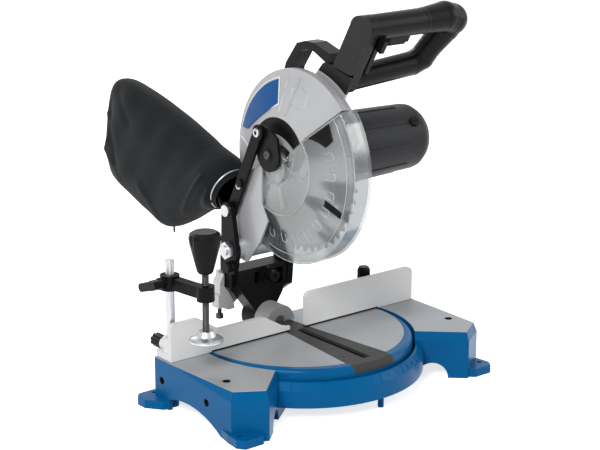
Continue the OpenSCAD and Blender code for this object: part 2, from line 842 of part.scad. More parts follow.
module motor_end_cap() {
  color(dark) on_motor() difference() {
    turn_x_full()
      polygon([[motor_r - 4, motor_split], [motor_r, motor_split], [motor_r - 1, motor_split + 5],
        [motor_r - 6, motor_end - 3], [motor_r - 9, motor_end], [0, motor_end], [0, motor_end - 4],
        [bearing_r, motor_end - 4], [bearing_r, motor_end - 15.5], [bearing_r + 3, motor_end - 15.5],
        [bearing_r + 3, motor_end - 4], [motor_r - 11, motor_end - 4]]);
    for (a = [0:30:330]) rotate([a, 0, 0]) translate([motor_end - 6, 17, -1.5]) cube([8, 10, 3]);
  }
}

module brush_caps() {
  color(black) on_motor() rotate([brush_turn, 0, 0]) for (s = [-1, 1])
    translate([brush_x, s * (motor_r - 3), 0]) difference() {
      rod_y(s > 0 ? 0 : -6, s > 0 ? 6 : 0, 6);
      translate([-4, s * 6 - 1, -0.75]) cube([8, 2, 1.5]);
    }
}

module brushes() {
  color(black) on_motor() rotate([brush_turn, 0, 0]) for (s = [-1, 1])
    translate([brush_x - 3, s > 0 ? 12.3 : -motor_r + 3, -3]) cube([6, motor_r - 15.3, 6]);
}

module stator() {
  color(steel) on_motor() ring_x(core_x0, core_x1, motor_r - 2.1, 21);
}

module armature() {
  color(steel) on_motor() {
    rod_x(gear_x0 - 0.5, motor_end - 4.5, rotor_r);
    rod_x(core_x0 + 2, core_x1 - 2, 20.4);
    rod_x(brush_x - 9, brush_x + 9, 12);
    turn_x_full() polygon([[0, gear_x0], [pinion_r, gear_x0], [pinion_r, gear_x1], [0, gear_x1]]);
  }
}

module fan() {
  color(black) on_motor() difference() {
    union() {
      ring_x(36, 38, 33, rotor_r);
      ring_x(36, 48, 9, rotor_r);
      for (a = [0:36:324]) rotate([a, 0, 0]) translate([38, 8, -1]) cube([9, 24, 2]);
    }
    rod_x(30, 50, rotor_r);
  }
}

module rotor_bearings() {
  color(steel) on_motor() {
    ring_x(20.2, motor_start, bearing_r, rotor_r + run_gap);
    ring_x(motor_end - 15, motor_end - 6, bearing_r, rotor_r + run_gap);
  }
}

module arbor_bearings() {
  color(steel) on_axis() {
    ring_x(5, 12, 11, arbor_r + run_gap);
    ring_x(gear_x1 + 1.6, 24.4, 11, arbor_r + run_gap);
  }
}

module arbor() {
  color(steel) on_axis() difference() {
    rod_x(blade_t / 2, 24, arbor_r);
    rod_x(0, 16, 4);
  }
}

// outline of a toothed wheel with straight-sided teeth
module wheel_outline(outer, root, teeth) {
  polygon([for (i = [0:teeth * 4 - 1])
    let (r = (i % 4 < 2) ? outer : root, a = i * 90 / teeth) [r * cos(a), r * sin(a)]]);
}

module driven_gear() {
  color(steel) on_axis() difference() {
    slab_x(gear_x0, gear_x1) wheel_outline(gear_r, gear_r - 1.8, 34);
    rod_x(gear_x0 - 1, gear_x1 + 1, arbor_r);
  }
}

module inner_flange() {
  color(steel) on_axis() difference() {
    union() {
      rod_x(blade_t / 2, 3.6, 20);
      rod_x(-blade_t / 2 + 0.2, blade_t / 2, blade_bore_r);
    }
    rod_x(-3, 5, arbor_r);
  }
}

module outer_flange() {
  color(steel) on_axis() difference() {
    turn_x_full()
      polygon([[4, -blade_t / 2], [20, -blade_t / 2], [20, -blade_t / 2 - 2], [14, -blade_t / 2 - 4],
        [4, -blade_t / 2 - 4]]);
    rod_x(-8, 0, 4);
  }
}

module blade_bolt() {
  head_x = -blade_t / 2 - 4;
  color(dark) on_axis() {
    rod_x(head_x, 15, 4);
    rod_x(head_x - 2, head_x, 10);
    translate([head_x - 8, 0, 0]) rotate([0, 90, 0]) cylinder(h = 6, r = 8, $fn = 6);
  }
}

// outline of the blade: one steep face and a long back on each tooth
module blade_outline() {
  polygon([for (i = [0:blade_teeth - 1], k = [0:3])
    let (a = (i + [0, 0.16, 0.3, 0.7][k]) * 360 / blade_teeth,
      r = blade_r - [0, 1.2, 6.5, 5][k]) [r * cos(a), r * sin(a)]]);
}

module saw_blade() {
  color(steel) on_axis() slab_x(-blade_t / 2, blade_t / 2) difference() {
    blade_outline();
    circle(r = blade_bore_r);
    for (a = [30:90:300]) rotate(a) translate([blade_r - 26, 0]) circle(r = 3);
    for (a = [75:90:345]) rotate(a) translate([blade_r - 16, -0.6]) square([12, 1.2]);
  }
}

module lower_guard() {
  color(clear) on_axis() difference() {
    union() {
      turn_x(140, 297.3)
        polygon([[gear_boss_r + 4, 9.5], [guard_r, 9.5], [guard_r, -14], [cap_r, -31], [12, -31],
          [12, -28.5],
          [cap_r - 1, -28.5], [guard_inner_r, -12.4], [guard_inner_r, 7], [gear_boss_r + 4, 7]]);
      ring_x(6.5, 9.9, gear_boss_r + 7, gear_boss_r);
      rod_x(-35.4, -28, 19);
    }
    rod_x(-50, -20, 3);
  }
}

module guard_cover() {
  color(black) on_axis() {
    slab_x(-38.5, -35.4) {
      translate([cover_y, cover_h]) circle(r = cover_r);
      polygon([[cover_y - cover_r + 0.6, cover_h], [-9, 34], [4, 43], [18, 45.4], [30, 35],
        [cover_y + cover_r - 0.6, cover_h]]);
      translate([crank * cos(crank_angle), crank * sin(crank_angle)]) circle(r = 9);
    }
    translate([0, cover_y, cover_h]) rod_x(-39.2, -38.5, 8);
    rod_x(-35.4, -26, 3);
    translate([0, crank * cos(crank_angle), crank * sin(crank_angle)]) rod_x(-39.2, -38.5, 4.5);
  }
}

module guard_link() {
  color(black) on_table() translate([0, link_y, link_h]) rotate([link_angle, 0, 0]) {
    slab_x(link_left, link_right) difference() {
      union() {
        translate([0, -link_half]) square([link_len, 2 * link_half]);
        circle(r = link_end_r);
        translate([link_len, 0]) circle(r = link_end_r);
      }
      circle(r = 4 + run_gap);
    }
    translate([0, link_len, 0]) rod_x(link_left - 2.5, link_left, 5.5);
    translate([0, 40, 0]) rod_x(link_left - 2.5, link_left, 5);
  }
}

// outline (y, h) of the handle's end posts
module post_outline() {
  translate([grip_y, grip_h]) circle(r = bar_r);
  translate([low_y, low_h]) circle(r = bar_r);
  translate([low_y, low_h]) rotate(grip_angle) translate([0, -bar_r + 0.4])
    square([grip_gap, 2 * bar_r - 0.8]);
}

// places children at the grip's axis, with z along the line from the lower bar to the grip
module on_grip() {
  on_table() translate([0, grip_y, grip_h]) rotate([grip_angle - 90, 0, 0]) children();
}

// tapering bar between two points [x, z, radius] of the x and z plane
module bar_between(a, b) {
  translate([a[0], 0, a[1]]) rotate([0, atan2(b[0] - a[0], b[1] - a[1]), 0])
    cylinder(h = norm([b[0] - a[0], b[1] - a[1]]), r1 = a[2] - ball_extra, r2 = b[2] - ball_extra);
}

module handle() {
  end_x = handle_end - swell_r;
  path = [[post_end - 2, 0, bar_r], [end_x - 48, 1, bar_r], [end_x - 14, 3, swell_r - 0.6],
    [end_x, -2, swell_r], [end_x - 3, -14, bar_r + 1.5], [end_x - 15, -grip_gap + 32, low_bar_r + 0.4],
    [end_x - 20, -grip_gap + 17, low_bar_r + 0.8], [end_x - 32, -grip_gap + low_rise, low_bar_r + 0.4],
    [post_end - 2, -grip_gap, low_bar_r]];
  color(black) difference() {
    union() {
      on_table() slab_x(handle_start, post_end) post_outline();
      on_grip() {
        for (i = [1:len(path) - 1]) bar_between(path[i - 1], path[i]);
        for (i = [1:len(path) - 2]) translate([path[i][0], 0, path[i][1]]) sphere(r = path[i][2]);
      }
    }
    on_grip() {
      translate([58, -6.5, -bar_r - 6]) cube([30, 13, bar_r + 8]);
      translate([60, -5.6, 1.5]) cube([26, 11.2, 7.5]);
      translate([lever_x - 1, -bar_r - 4, -grip_gap + bar_r - 4])
        cube([lever_t + 2, 20, grip_gap - bar_r + 4]);
      translate([0, -8.5, -6]) rod_x(lever_x - 4.5, lever_x + lever_t + 4.5, 2.5 + run_gap);
    }
  }
}

module handle_cap() {
  color(dark) on_table() {
    slab_x(handle_start - 6, handle_start) difference() {
      post_outline();
      polygon([[low_y + 22, low_h + 19], [low_y - 30, low_h + 7], [low_y - 30, low_h - 20],
        [low_y + 22, low_h - 20]]);
    }
  }
}

module trigger() {
  color(dark) on_grip() {
    translate([58.5, -6, -bar_r - 7]) cube([29, 12, 11]);
    translate([62, 0, -bar_r - 7]) rod_x(0, 22, 6);
  }
}

module switch_body() {
  color(black) on_grip() translate([60.2, -5.3, 2.2]) cube([25.6, 10.6, 6.6]);
}

module guard_release() {
  color(dark) on_grip() {
    translate([lever_x, -bar_r + 2, -grip_gap + bar_r + 1]) cube([lever_t, 9, grip_gap - bar_r - 3]);
    translate([lever_x, -bar_r - 7, -20]) cube([lever_t, 12, 16]);
    translate([0, -8.5, -6]) rod_x(lever_x - 4, lever_x + lever_t + 4, 2.5);
  }
}

// outline of the carrying strap in y and h from the blade axis, rear foot to front foot
module strap_outline() {
  polygon([[37.5, 84.6], [51.5, 92.6], [45.5, 108.6], [25.5, 133.6], [11.5, 137.6], [-4.5, 137.6],
    [-32.5, 128.6],
    [-44.5, 116.6], [-34.5, 102.6], [-26.5, 108.6], [-24.5, 118.6], [-2.5, 128.6], [9.5, 128.6],
    [19.5, 124.6],
    [35.5, 102.6]]);
}

module carry_handle() {
  color(black) on_axis() difference() {
    slab_x(18, 38) strap_outline();
    for (p = strap_screw_places) translate([0, p[0], p[1]]) rod_x(17, 40, 3);
  }
}

module strap_screws() {
  color(steel) on_axis() for (p = strap_screw_places) translate([0, p[0], p[1]]) {
    rod_x(18, 38, 3);
    rod_x(38, 41, 5);
  }
}

module dust_port() {
  color(black) on_table() translate([port_x, port_y, port_h]) rotate([port_tilt, 0, 0]) difference() {
    union() {
      rod_y(-4, 16, port_r);
      rod_y(-4, 0, port_r + 2);
    }
    rod_y(-5, 17, port_r - 3);
  }
}

module bag_ring() {
  color(dark) on_table() translate([port_x, port_y, port_h]) rotate([port_tilt, 0, 0]) difference() {
    rod_y(4, 16, port_r + 3);
    rod_y(3, 17, port_r);
  }
}

// outline of the filled bag in y and h from the dust port
module bag_outline() {
  polygon([[2.6, 36.6], [50, 64], [104, 81], [154, 94], [214, 93], [231, 76], [256, 39], [252, -23],
    [244, -35],
    [140, -67], [113, -71], [59, -50], [27.8, -23.6]]);
}

module dust_bag() {
  color(black) on_table() translate([port_x, port_y, port_h]) hull() {
    slab_x(-bag_half * 0.55, bag_half * 0.55) bag_outline();
    slab_x(-bag_half, bag_half)
      polygon([[20, 32], [74, 60], [154, 80], [210, 80], [236, 38], [234, -19], [140, -52], [74, -40],
        [36, -14]]);
  }
}

module clamp_post() {
  color(steel) on_table() translate([-post_x, post_y, 0])
    rotate_extrude()
      polygon([[0, -post_depth], [post_r - 1, -post_depth], [post_r, 1 - post_depth],
        [post_r, post_top - 1], [post_r - 1, post_top], [0, post_top]]);
}

module clamp_arm() {
  boss = 10;
  arm_angle = atan2(spindle_x + post_x, -(spindle_y - post_y));
  color(black) on_table() difference() {
    union() {
      translate([-post_x, post_y, arm_h - arm_tall / 2]) cylinder(h = arm_tall, r = boss + 1);
      translate([spindle_x, spindle_y, arm_h - arm_tall / 2]) cylinder(h = arm_tall, r = boss);
      translate([-post_x, post_y, arm_h - arm_tall / 2 + 2]) rotate([0, 0, arm_angle])
        translate([-6, -sqrt(pow(arm_reach, 2) + pow(arm_side, 2)), 0])
          cube([12, sqrt(pow(arm_reach, 2) + pow(arm_side, 2)), arm_tall - 4]);
      translate([0, post_y, arm_h]) rod_x(-post_x - 15, -post_x, 7);
    }
    translate([-post_x, post_y, 0]) cylinder(h = 200, r = post_r + run_gap);
    translate([spindle_x, spindle_y, 0]) cylinder(h = 200, r = spindle_r + run_gap);
    translate([0, post_y, arm_h]) rod_x(-post_x - 16, -post_x, 3 + run_gap);
  }
}

// a wing knob along x: shaft to the right, wings to the left
module wing_knob(x0, hub_l, shaft_l) {
  rod_x(x0 - hub_l, x0, 6);
  rod_x(x0, x0 + shaft_l, 3);
  slab_x(x0 - hub_l - 6, x0 - hub_l + 6) {
    translate([0, -12]) circle(r = 5);
    translate([0, 12]) circle(r = 5);
    translate([-5, -12]) square([10, 24]);
  }
}

module arm_knob() {
  color(black) on_table() translate([0, post_y, arm_h]) rotate([wing_rest, 0, 0])
    wing_knob(-post_x - 15 - side_gap, 10, 15 + side_gap - post_r - side_gap);
}

module clamp_spindle() {
  color(dark) on_table() translate([spindle_x, spindle_y, 0]) {
    translate([0, 0, pad_h + pad_t + side_gap])
      cylinder(h = knob_bottom + 20 - pad_h - pad_t, r = spindle_r);
  }
}

module clamp_knob() {
  color(black) on_table() translate([spindle_x, spindle_y, 0]) difference() {
    translate([0, 0, knob_bottom]) rotate_extrude()
      polygon([[0, 0], [7.5, 0], [9, 2], [17, 33], [18, 40], [16.8, 44.5], [13, 47],
        [0, knob_top - knob_bottom]]);
    translate([0, 0, knob_bottom - 1]) cylinder(h = 21 + side_gap, r = spindle_r);
    for (a = [0:60:300]) rotate([0, 0, a]) translate([24.5, 0, knob_bottom + 12]) cylinder(h = 40, r = 8);
  }
}

module clamp_pad() {
  color(steel) on_table() translate([spindle_x, spindle_y, pad_h]) difference() {
    rotate_extrude()
      polygon([[0, 0], [pad_r - 1, 0], [pad_r, 1], [pad_r, 3], [pad_r - 2, 4.5], [11, pad_t + 1],
        [8, pad_t + 7],
      [0, pad_t + 7]]);
    translate([0, 0, pad_t]) cylinder(h = 20, r = spindle_r + run_gap);
  }
}

module post_thumbscrew() {
  tip = post_y + post_r + side_gap;
  color(black) on_table() translate([-post_x, 0, thumb_h]) {
    rod_y(tip, flange_back + 4, 3);
    difference() {
      rod_y(flange_back + side_gap, flange_back + 16, 8);
      for (a = [0:45:315]) rotate([0, a, 0]) translate([9.5, 0, 0])
        rod_y(flange_back - 1, flange_back + 20, 2.5);
    }
  }
}

base_casting();
fence_left();
fence_right();
fence_screws();
fence_knob();
turntable_bolt();
turntable();
table_insert();
insert_screws();
bevel_bolt();
tilt_arm();
tilt_bracket();
bevel_stop_screw();
pivot_shaft();
return_spring();
laser_module();
head_lock_pin();
link_pin();
head_casting();
guard_panel();
motor_housing();
motor_end_cap();
brush_caps();
brushes();
stator();
armature();
fan();
rotor_bearings();
arbor_bearings();
arbor();
driven_gear();
inner_flange();
outer_flange();
blade_bolt();
saw_blade();
lower_guard();
guard_cover();
guard_link();
handle();
handle_cap();
trigger();
switch_body();
guard_release();
carry_handle();
strap_screws();
dust_port();
bag_ring();
dust_bag();
clamp_post();
clamp_arm();
arm_knob();
clamp_spindle();
clamp_knob();
clamp_pad();
post_thumbscrew();
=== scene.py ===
# %% [markdown]
# # A compact mitre saw, dressed for the camera
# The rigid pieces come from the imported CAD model, which also fixes the scale and the joints.
# This lesson gives each piece a procedural finish, sews the soft dust bag from a grid of points,
# and adds small surfaces that a solid model leaves out. Everything is in metres, +Z up.

import math

import bpy
import numpy as np
from mathutils import Matrix, Vector


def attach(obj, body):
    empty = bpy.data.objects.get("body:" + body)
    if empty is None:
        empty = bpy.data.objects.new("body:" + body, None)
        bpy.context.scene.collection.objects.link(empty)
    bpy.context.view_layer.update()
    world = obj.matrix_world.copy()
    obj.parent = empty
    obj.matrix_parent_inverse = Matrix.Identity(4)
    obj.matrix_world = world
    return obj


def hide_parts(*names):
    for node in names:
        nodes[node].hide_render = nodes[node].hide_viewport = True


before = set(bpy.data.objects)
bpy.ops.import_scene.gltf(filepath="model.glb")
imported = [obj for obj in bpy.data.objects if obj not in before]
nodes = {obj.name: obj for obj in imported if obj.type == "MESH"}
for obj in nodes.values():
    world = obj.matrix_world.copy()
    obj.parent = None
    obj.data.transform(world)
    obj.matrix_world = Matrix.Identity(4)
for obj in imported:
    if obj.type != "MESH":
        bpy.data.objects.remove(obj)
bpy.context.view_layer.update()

# %% [markdown]
# Places on the saw are easiest to name as the drawing names them, in millimetres: x from the blade,
# y behind the fence face and h above the table. One helper turns them into metres in the frame.

# %% Reference places
TABLE_H = 0.057
FENCE_Y = 0.043
AXLE_Y, AXLE_H = 0.5, 203.4
PORT_X, PORT_Y, PORT_H, PORT_TILT = -18.0, 116.0, 156.0, math.radians(23)
GRIP_Y, GRIP_H, LOW_Y, LOW_H = -92.0, 368.0, -56.0, 306.0


def spot(x, y, h):
    """Points in metres from x, y behind the fence face and h above the table, in millimetres."""
    x, y, h = np.broadcast_arrays(x, y, h)
    return np.stack([x * 0.001, y * 0.001 + FENCE_Y, h * 0.001 + TABLE_H], -1)


axle = spot(0.0, AXLE_Y, AXLE_H)
print("blade axle at", axle.round(4))

# %% [markdown]
# ## Shader helpers
# A material here is a small tree of nodes. These helpers add a node, set its inputs by name and
# link sockets, so that each material below reads as a short recipe.

# %% Node helpers
def fill(tree, made, inputs):
    """Sets a node's inputs: a socket is linked, and anything else becomes the input's value."""
    for name, value in inputs.items():
        if isinstance(value, bpy.types.NodeSocket):
            tree.links.new(value, made.inputs[name])
        else:
            made.inputs[name].default_value = value
    return made


def add(tree, kind, inputs=None, **settings):
    """Adds one shader node with its settings and inputs."""
    made = tree.nodes.new("ShaderNode" + kind)
    for name, value in settings.items():
        setattr(made, name, value)
    return fill(tree, made, inputs or {})


def ramp(tree, value, low, high, start, end):
    """Maps value from low..high to start..end and clamps it."""
    limits = {"Value": value, "From Min": low, "From Max": high, "To Min": start, "To Max": end}
    return add(tree, "MapRange", limits).outputs["Result"]


def calc(tree, operation, a, b=0.0):
    """One arithmetic step on two values."""
    return add(tree, "Math", {0: a, 1: b}, operation=operation).outputs[0]


def vector_calc(tree, operation, a, b=(0.0, 0.0, 0.0)):
    """One step on two vectors: a new vector, or a value for a dot product, a length or a distance."""
    made = add(tree, "VectorMath", {0: a, 1: b}, operation=operation)
    return made.outputs["Value" if operation in ("DOT_PRODUCT", "LENGTH", "DISTANCE") else "Vector"]


def blend_colour(tree, factor, a, b):
    """Blends two colours by a factor from 0 to 1."""
    return add(tree, "Mix", {0: factor, 6: a, 7: b}, data_type="RGBA").outputs[2]


def object_place(tree):
    """The point being shaded, in the object's own coordinates."""
    return add(tree, "TexCoord").outputs["Object"]


def start_group(name, inputs, outputs):
    """Makes an empty shader group and returns its tree and its two ends."""
    tree = bpy.data.node_groups.new(name, "ShaderNodeTree")
    for label, kind, value in inputs:
        made = tree.interface.new_socket(label, in_out="INPUT", socket_type="NodeSocket" + kind)
        if value is not None:
            made.default_value = value
    for label, kind in outputs:
        tree.interface.new_socket(label, in_out="OUTPUT", socket_type="NodeSocket" + kind)
    return tree, tree.nodes.new("NodeGroupInput"), tree.nodes.new("NodeGroupOutput")


def use_group(tree, group, inputs):
    """Puts a shader group into a material."""
    made = tree.nodes.new("ShaderNodeGroup")
    made.node_tree = group
    return fill(tree, made, inputs)


# %% [markdown]
# ## Shared surface effects
# Four groups are used by many materials: the fine pebbled skin of a casting or of moulded plastic,
# the long hairlines of machined metal, evenly spaced ribs, and a slow patchy change that keeps
# large faces from looking flat. Each is built once as a group, and a material only gives it values.

# %% Grain group
def make_grain():
    """Fine skin: two sizes of noise added up, given out as a value and as a bumped normal."""
    tree, start, end = start_group(
        "fine_grain",
        [("Scale", "Float", 900.0), ("Depth", "Float", 0.1), ("Normal", "Vector", None)],
        [("Value", "Float"), ("Normal", "Vector")],
    )
    place = object_place(tree)
    scale = start.outputs["Scale"]
    coarse = add(tree, "TexNoise", {"Vector": place, "Scale": scale, "Detail": 3.0, "Roughness": 0.6})
    finer = calc(tree, "MULTIPLY", scale, 3.1)
    fine = add(tree, "TexNoise", {"Vector": place, "Scale": finer, "Detail": 1.0})
    both = calc(tree, "ADD", coarse.outputs[0], calc(tree, "MULTIPLY", fine.outputs[0], 0.4))
    bump = {"Strength": start.outputs["Depth"], "Distance": 0.0006, "Height": both}
    bumped = add(tree, "Bump", {**bump, "Normal": start.outputs["Normal"]}).outputs[0]
    fill(tree, end, {"Value": both, "Normal": bumped})
    return tree


# %% Hairline group
def make_hairlines():
    """Machining marks: noise stretched along one axis, so that it reads as fine parallel lines."""
    tree, start, end = start_group(
        "hairlines",
        [("Stretch", "Vector", (4.0, 900.0, 900.0)), ("Depth", "Float", 0.1), ("Normal", "Vector", None)],
        [("Value", "Float"), ("Normal", "Vector")],
    )
    pulled = vector_calc(tree, "MULTIPLY", object_place(tree), start.outputs["Stretch"])
    noise = {"Vector": pulled, "Scale": 1.0, "Detail": 4.0, "Roughness": 0.7}
    lines = add(tree, "TexNoise", noise).outputs[0]
    bump = {"Strength": start.outputs["Depth"], "Distance": 0.0003, "Height": lines}
    bumped = add(tree, "Bump", {**bump, "Normal": start.outputs["Normal"]}).outputs[0]
    fill(tree, end, {"Value": lines, "Normal": bumped})
    return tree


# %% Rib group
def make_ribs():
    """Even ribs: the sine of the distance along Way, which holds the turns per metre, bumps the normal."""
    tree, start, end = start_group(
        "even_ribs",
        [("Way", "Vector", (0.0, 0.0, 600.0)), ("Depth", "Float", 0.3), ("Normal", "Vector", None)],
        [("Value", "Float"), ("Normal", "Vector")],
    )
    turns = vector_calc(tree, "DOT_PRODUCT", object_place(tree), start.outputs["Way"])
    wave = calc(tree, "SINE", calc(tree, "MULTIPLY", turns, 2 * math.pi))
    bump = {"Strength": start.outputs["Depth"], "Distance": 0.0004, "Height": wave}
    bumped = add(tree, "Bump", {**bump, "Normal": start.outputs["Normal"]}).outputs[0]
    fill(tree, end, {"Value": wave, "Normal": bumped})
    return tree


# %% Patch group
def make_patches():
    """Slow patchy change: large noise, spread to fill 0 to 1."""
    tree, start, end = start_group("slow_patches", [("Scale", "Float", 14.0)], [("Value", "Float")])
    noise = {"Vector": object_place(tree), "Scale": start.outputs["Scale"], "Detail": 5.0, "Roughness": 0.55}
    cloud = add(tree, "TexNoise", noise).outputs[0]
    fill(tree, end, {"Value": ramp(tree, cloud, 0.3, 0.7, 0.0, 1.0)})
    return tree


grain, hairlines, ribs, patches = make_grain(), make_hairlines(), make_ribs(), make_patches()
print("shader groups:", [g.name for g in bpy.data.node_groups])

# %% [markdown]
# ## Materials
# A rounded-edge normal comes first in every rigid finish: it softens the sharp CAD edges so that
# they catch a thin line of light, as real cast and moulded edges do. Grain is laid over it, and
# the patches move the colour and the roughness a little.

# %% Finish starters
def start_material(name, edge=0.0008):
    """A new material, its tree, its main shader and a normal that rounds edges by the given radius."""
    made = bpy.data.materials.new(name)
    made.use_nodes = True
    tree = made.node_tree
    rounded = add(tree, "Bevel", {"Radius": edge}, samples=4).outputs[0]
    return made, tree, tree.nodes["Principled BSDF"], rounded


def coated(name, colour, shade, rough, scale, depth, metal=0.0, gloss=0.14):
    """A grained finish: patches mix colour and shade, and rough is the low and high roughness."""
    made, tree, shader, rounded = start_material(name)
    slow = use_group(tree, patches, {"Scale": 16.0}).outputs[0]
    skin = use_group(tree, grain, {"Scale": scale, "Depth": depth, "Normal": rounded})
    mottled = calc(tree, "MULTIPLY", slow, ramp(tree, skin.outputs["Value"], 0.4, 1.0, 0.5, 1.0))
    looks = {
        "Base Color": blend_colour(tree, mottled, (*colour, 1), (*shade, 1)),
        "Roughness": ramp(tree, slow, 0.0, 1.0, *rough),
        "Normal": skin.outputs["Normal"],
        "Metallic": metal,
        "Specular IOR Level": gloss,
    }
    fill(tree, shader, looks)
    return made


def machined(name, colour, shade, rough, stretch, depth=0.12, thread=0.0):
    """Bare metal with hairlines along the axis that stretch leaves small; thread is the turns per metre."""
    made, tree, shader, rounded = start_material(name, 0.0005)
    slow = use_group(tree, patches, {"Scale": 30.0}).outputs[0]
    lines = use_group(tree, hairlines, {"Stretch": stretch, "Depth": depth, "Normal": rounded})
    normal = lines.outputs["Normal"]
    if thread:
        cut = use_group(tree, ribs, {"Way": (0.0, 0.0, thread), "Depth": 0.8, "Normal": normal})
        normal = cut.outputs["Normal"]
    marked = ramp(tree, lines.outputs["Value"], 0.3, 0.7, 0.0, 1.0)
    dull = calc(tree, "ADD", ramp(tree, slow, 0.0, 1.0, *rough), calc(tree, "MULTIPLY", marked, 0.08))
    looks = {
        "Base Color": blend_colour(tree, marked, (*colour, 1), (*shade, 1)),
        "Roughness": dull,
        "Normal": normal,
        "Metallic": 1.0,
    }
    fill(tree, shader, looks)
    return made


# %% [markdown]
# The base and the turntable have two finishes on one casting: blue paint on the sides and bare
# satin grey on the faces that carry the work. Two materials would need the mesh cut apart, so one
# material holds both, and the height of a point decides between them. On the turntable the grey is
# also bounded by a disc, which leaves a blue rim. The insides of holes are painted dark, as shade.

# %% Two-finish castings
BLUE, BLUE_SHADE = (0.0, 0.106, 0.285, 1), (0.0, 0.092, 0.252, 1)
TOP, TOP_SHADE = (0.42, 0.42, 0.42, 1), (0.37, 0.372, 0.375, 1)
# SHADOW is the colour of painted shade: inside holes and in the gap under the fences
SHADOW = (0.012, 0.012, 0.012, 1)
GREY_DISC = (FENCE_Y - 0.0012, 0.1242)
WING_HOLE, HOLE_R = spot(167.0, -82.5, 0.0), 0.0047
ROD_HOLES = (spot(0.0, 16.0, -25.0), spot(0.0, -69.0, -25.0))


def hole_shade(tree):
    """Painted shade in the wings' holes and rod bores: 1 where the least distance to their axes is below
    HOLE_R.
    """
    x, y, z = add(tree, "SeparateXYZ", {0: object_place(tree)}).outputs
    flat = add(tree, "CombineXYZ", {"X": calc(tree, "ABSOLUTE", x), "Y": y}).outputs[0]
    nearest = vector_calc(tree, "DISTANCE", flat, (WING_HOLE[0], WING_HOLE[1], 0.0))
    side = add(tree, "CombineXYZ", {"Y": y, "Z": z}).outputs[0]
    for hole in ROD_HOLES:
        bore = vector_calc(tree, "DISTANCE", side, (0.0, hole[1], hole[2]))
        nearest = calc(tree, "MINIMUM", nearest, bore)
    return calc(tree, "LESS_THAN", nearest, HOLE_R)


def topped(name, split, disc=None):
    """Blue below the height split, in metres, and grey above it, inside a disc (y, radius) if given."""
    made, tree, shader, rounded = start_material(name, 0.0014)
    height = add(tree, "SeparateXYZ", {0: object_place(tree)}).outputs["Z"]
    above = ramp(tree, height, split - 0.0001, split, 0.0, 1.0)
    if disc:
        flat = vector_calc(tree, "MULTIPLY", object_place(tree), (1.0, 1.0, 0.0))
        reach = vector_calc(tree, "DISTANCE", flat, (0.0, disc[0], 0.0))
        inside = ramp(tree, reach, disc[1], disc[1] + 0.0003, 1.0, 0.0)
        above = calc(tree, "MULTIPLY", above, inside)
    slow = use_group(tree, patches, {"Scale": 12.0}).outputs[0]
    skin = use_group(tree, grain, {"Scale": 1100.0, "Depth": 0.1, "Normal": rounded})
    paint = blend_colour(tree, slow, BLUE, BLUE_SHADE)
    metal = blend_colour(tree, slow, TOP, TOP_SHADE)
    skin_colour = blend_colour(tree, above, paint, metal)
    looks = {
        # the insides of holes are painted dark as shade
        "Base Color": blend_colour(tree, hole_shade(tree), skin_colour, SHADOW),
        "Roughness": ramp(tree, above, 0.0, 1.0, 0.3, 0.44),
        "Metallic": ramp(tree, above, 0.0, 1.0, 0.0, 0.3),
        "Normal": skin.outputs["Normal"],
        "Specular IOR Level": 0.14,
        "Specular Tint": (0.3, 0.6, 0.88, 1),
        "Coat Weight": 0.03,
        "Coat Roughness": 0.12,
    }
    fill(tree, shader, looks)
    return made


print("wing holes at", WING_HOLE.round(4), "and", len(ROD_HOLES), "rod bores a side")

# %% [markdown]
# Most pieces need only one of two recipes, so their values stand in two tables: paint and plastic,
# which have a grained skin, and bare metal, which has hairlines.

# %% Named finishes
COATS = {
    # colour, shade, low and high roughness, grain scale, grain depth, metal, gloss
    "fence_paint": ((0.74, 0.74, 0.74), (0.68, 0.68, 0.68), (0.36, 0.48), 1000.0, 0.08),
    "insert_plastic": ((0.05, 0.049, 0.048), (0.04, 0.039, 0.038), (0.45, 0.6), 1500.0, 0.2),
    "bracket_grey": ((0.60, 0.605, 0.61), (0.52, 0.525, 0.53), (0.4, 0.55), 800.0, 0.2, 0.3),
    "black_casting": ((0.004, 0.004, 0.0043), (0.006, 0.006, 0.0065), (0.28, 0.42), 700.0, 0.25, 0.0, 0.08),
    "black_plastic": ((0.0048, 0.005, 0.0055), (0.0072, 0.0074, 0.008), (0.25, 0.36), 1600.0, 0.2, 0.0, 0.09),
    "motor_plastic": ((0.0175, 0.0185, 0.0212), (0.0215, 0.0225, 0.0255), (0.36, 0.46), 1700.0, 0.3),
    "panel_blue": ((0.0, 0.078, 0.265), (0.0, 0.07, 0.24), (0.3, 0.36), 600.0, 0.03, 0.0, 0.12),
    "panel_white": ((0.75, 0.76, 0.77), (0.7, 0.71, 0.72), (0.3, 0.4), 600.0, 0.03),
}
METALS = {
    # colour, shade, low and high roughness, stretch of the hairlines, their depth, thread turns per metre
    "zinc_steel": ((0.62, 0.63, 0.65), (0.46, 0.47, 0.49), (0.22, 0.36), (300.0, 300.0, 20.0)),
    "dark_steel": ((0.09, 0.09, 0.094), (0.05, 0.05, 0.054), (0.34, 0.48), (300.0, 300.0, 20.0)),
    "thread_steel": ((0.10, 0.10, 0.105), (0.06, 0.06, 0.064), (0.3, 0.42), (300.0, 300.0, 60.0), 0.1, 500.0),
    "inner_metal": ((0.36, 0.27, 0.20), (0.28, 0.21, 0.16), (0.4, 0.55), (40.0, 600.0, 600.0)),
}
finish = {
    "base_paint": topped("base_paint", TABLE_H - 0.0004),
    "table_top": topped("table_top", TABLE_H - 0.0009, GREY_DISC),
}
finish.update({name: coated(name, *values) for name, values in COATS.items()})
finish.update({name: machined(name, *values) for name, values in METALS.items()})
print("finishes:", len(finish))

# %% [markdown]
# The fences bridge the turntable, and a dark gap shows under them there. The solids leave only half
# a millimetre, so a mask by height and by distance from the middle paints the rest of the gap's
# shadow on the foot of the fences, as a painted shadow.

# %% Painted gap shadow on the foot of the fences
# height and half width of the painted gap shadow
SHADOW_TOP, SHADOW_HALF = TABLE_H + 0.0024, 0.126


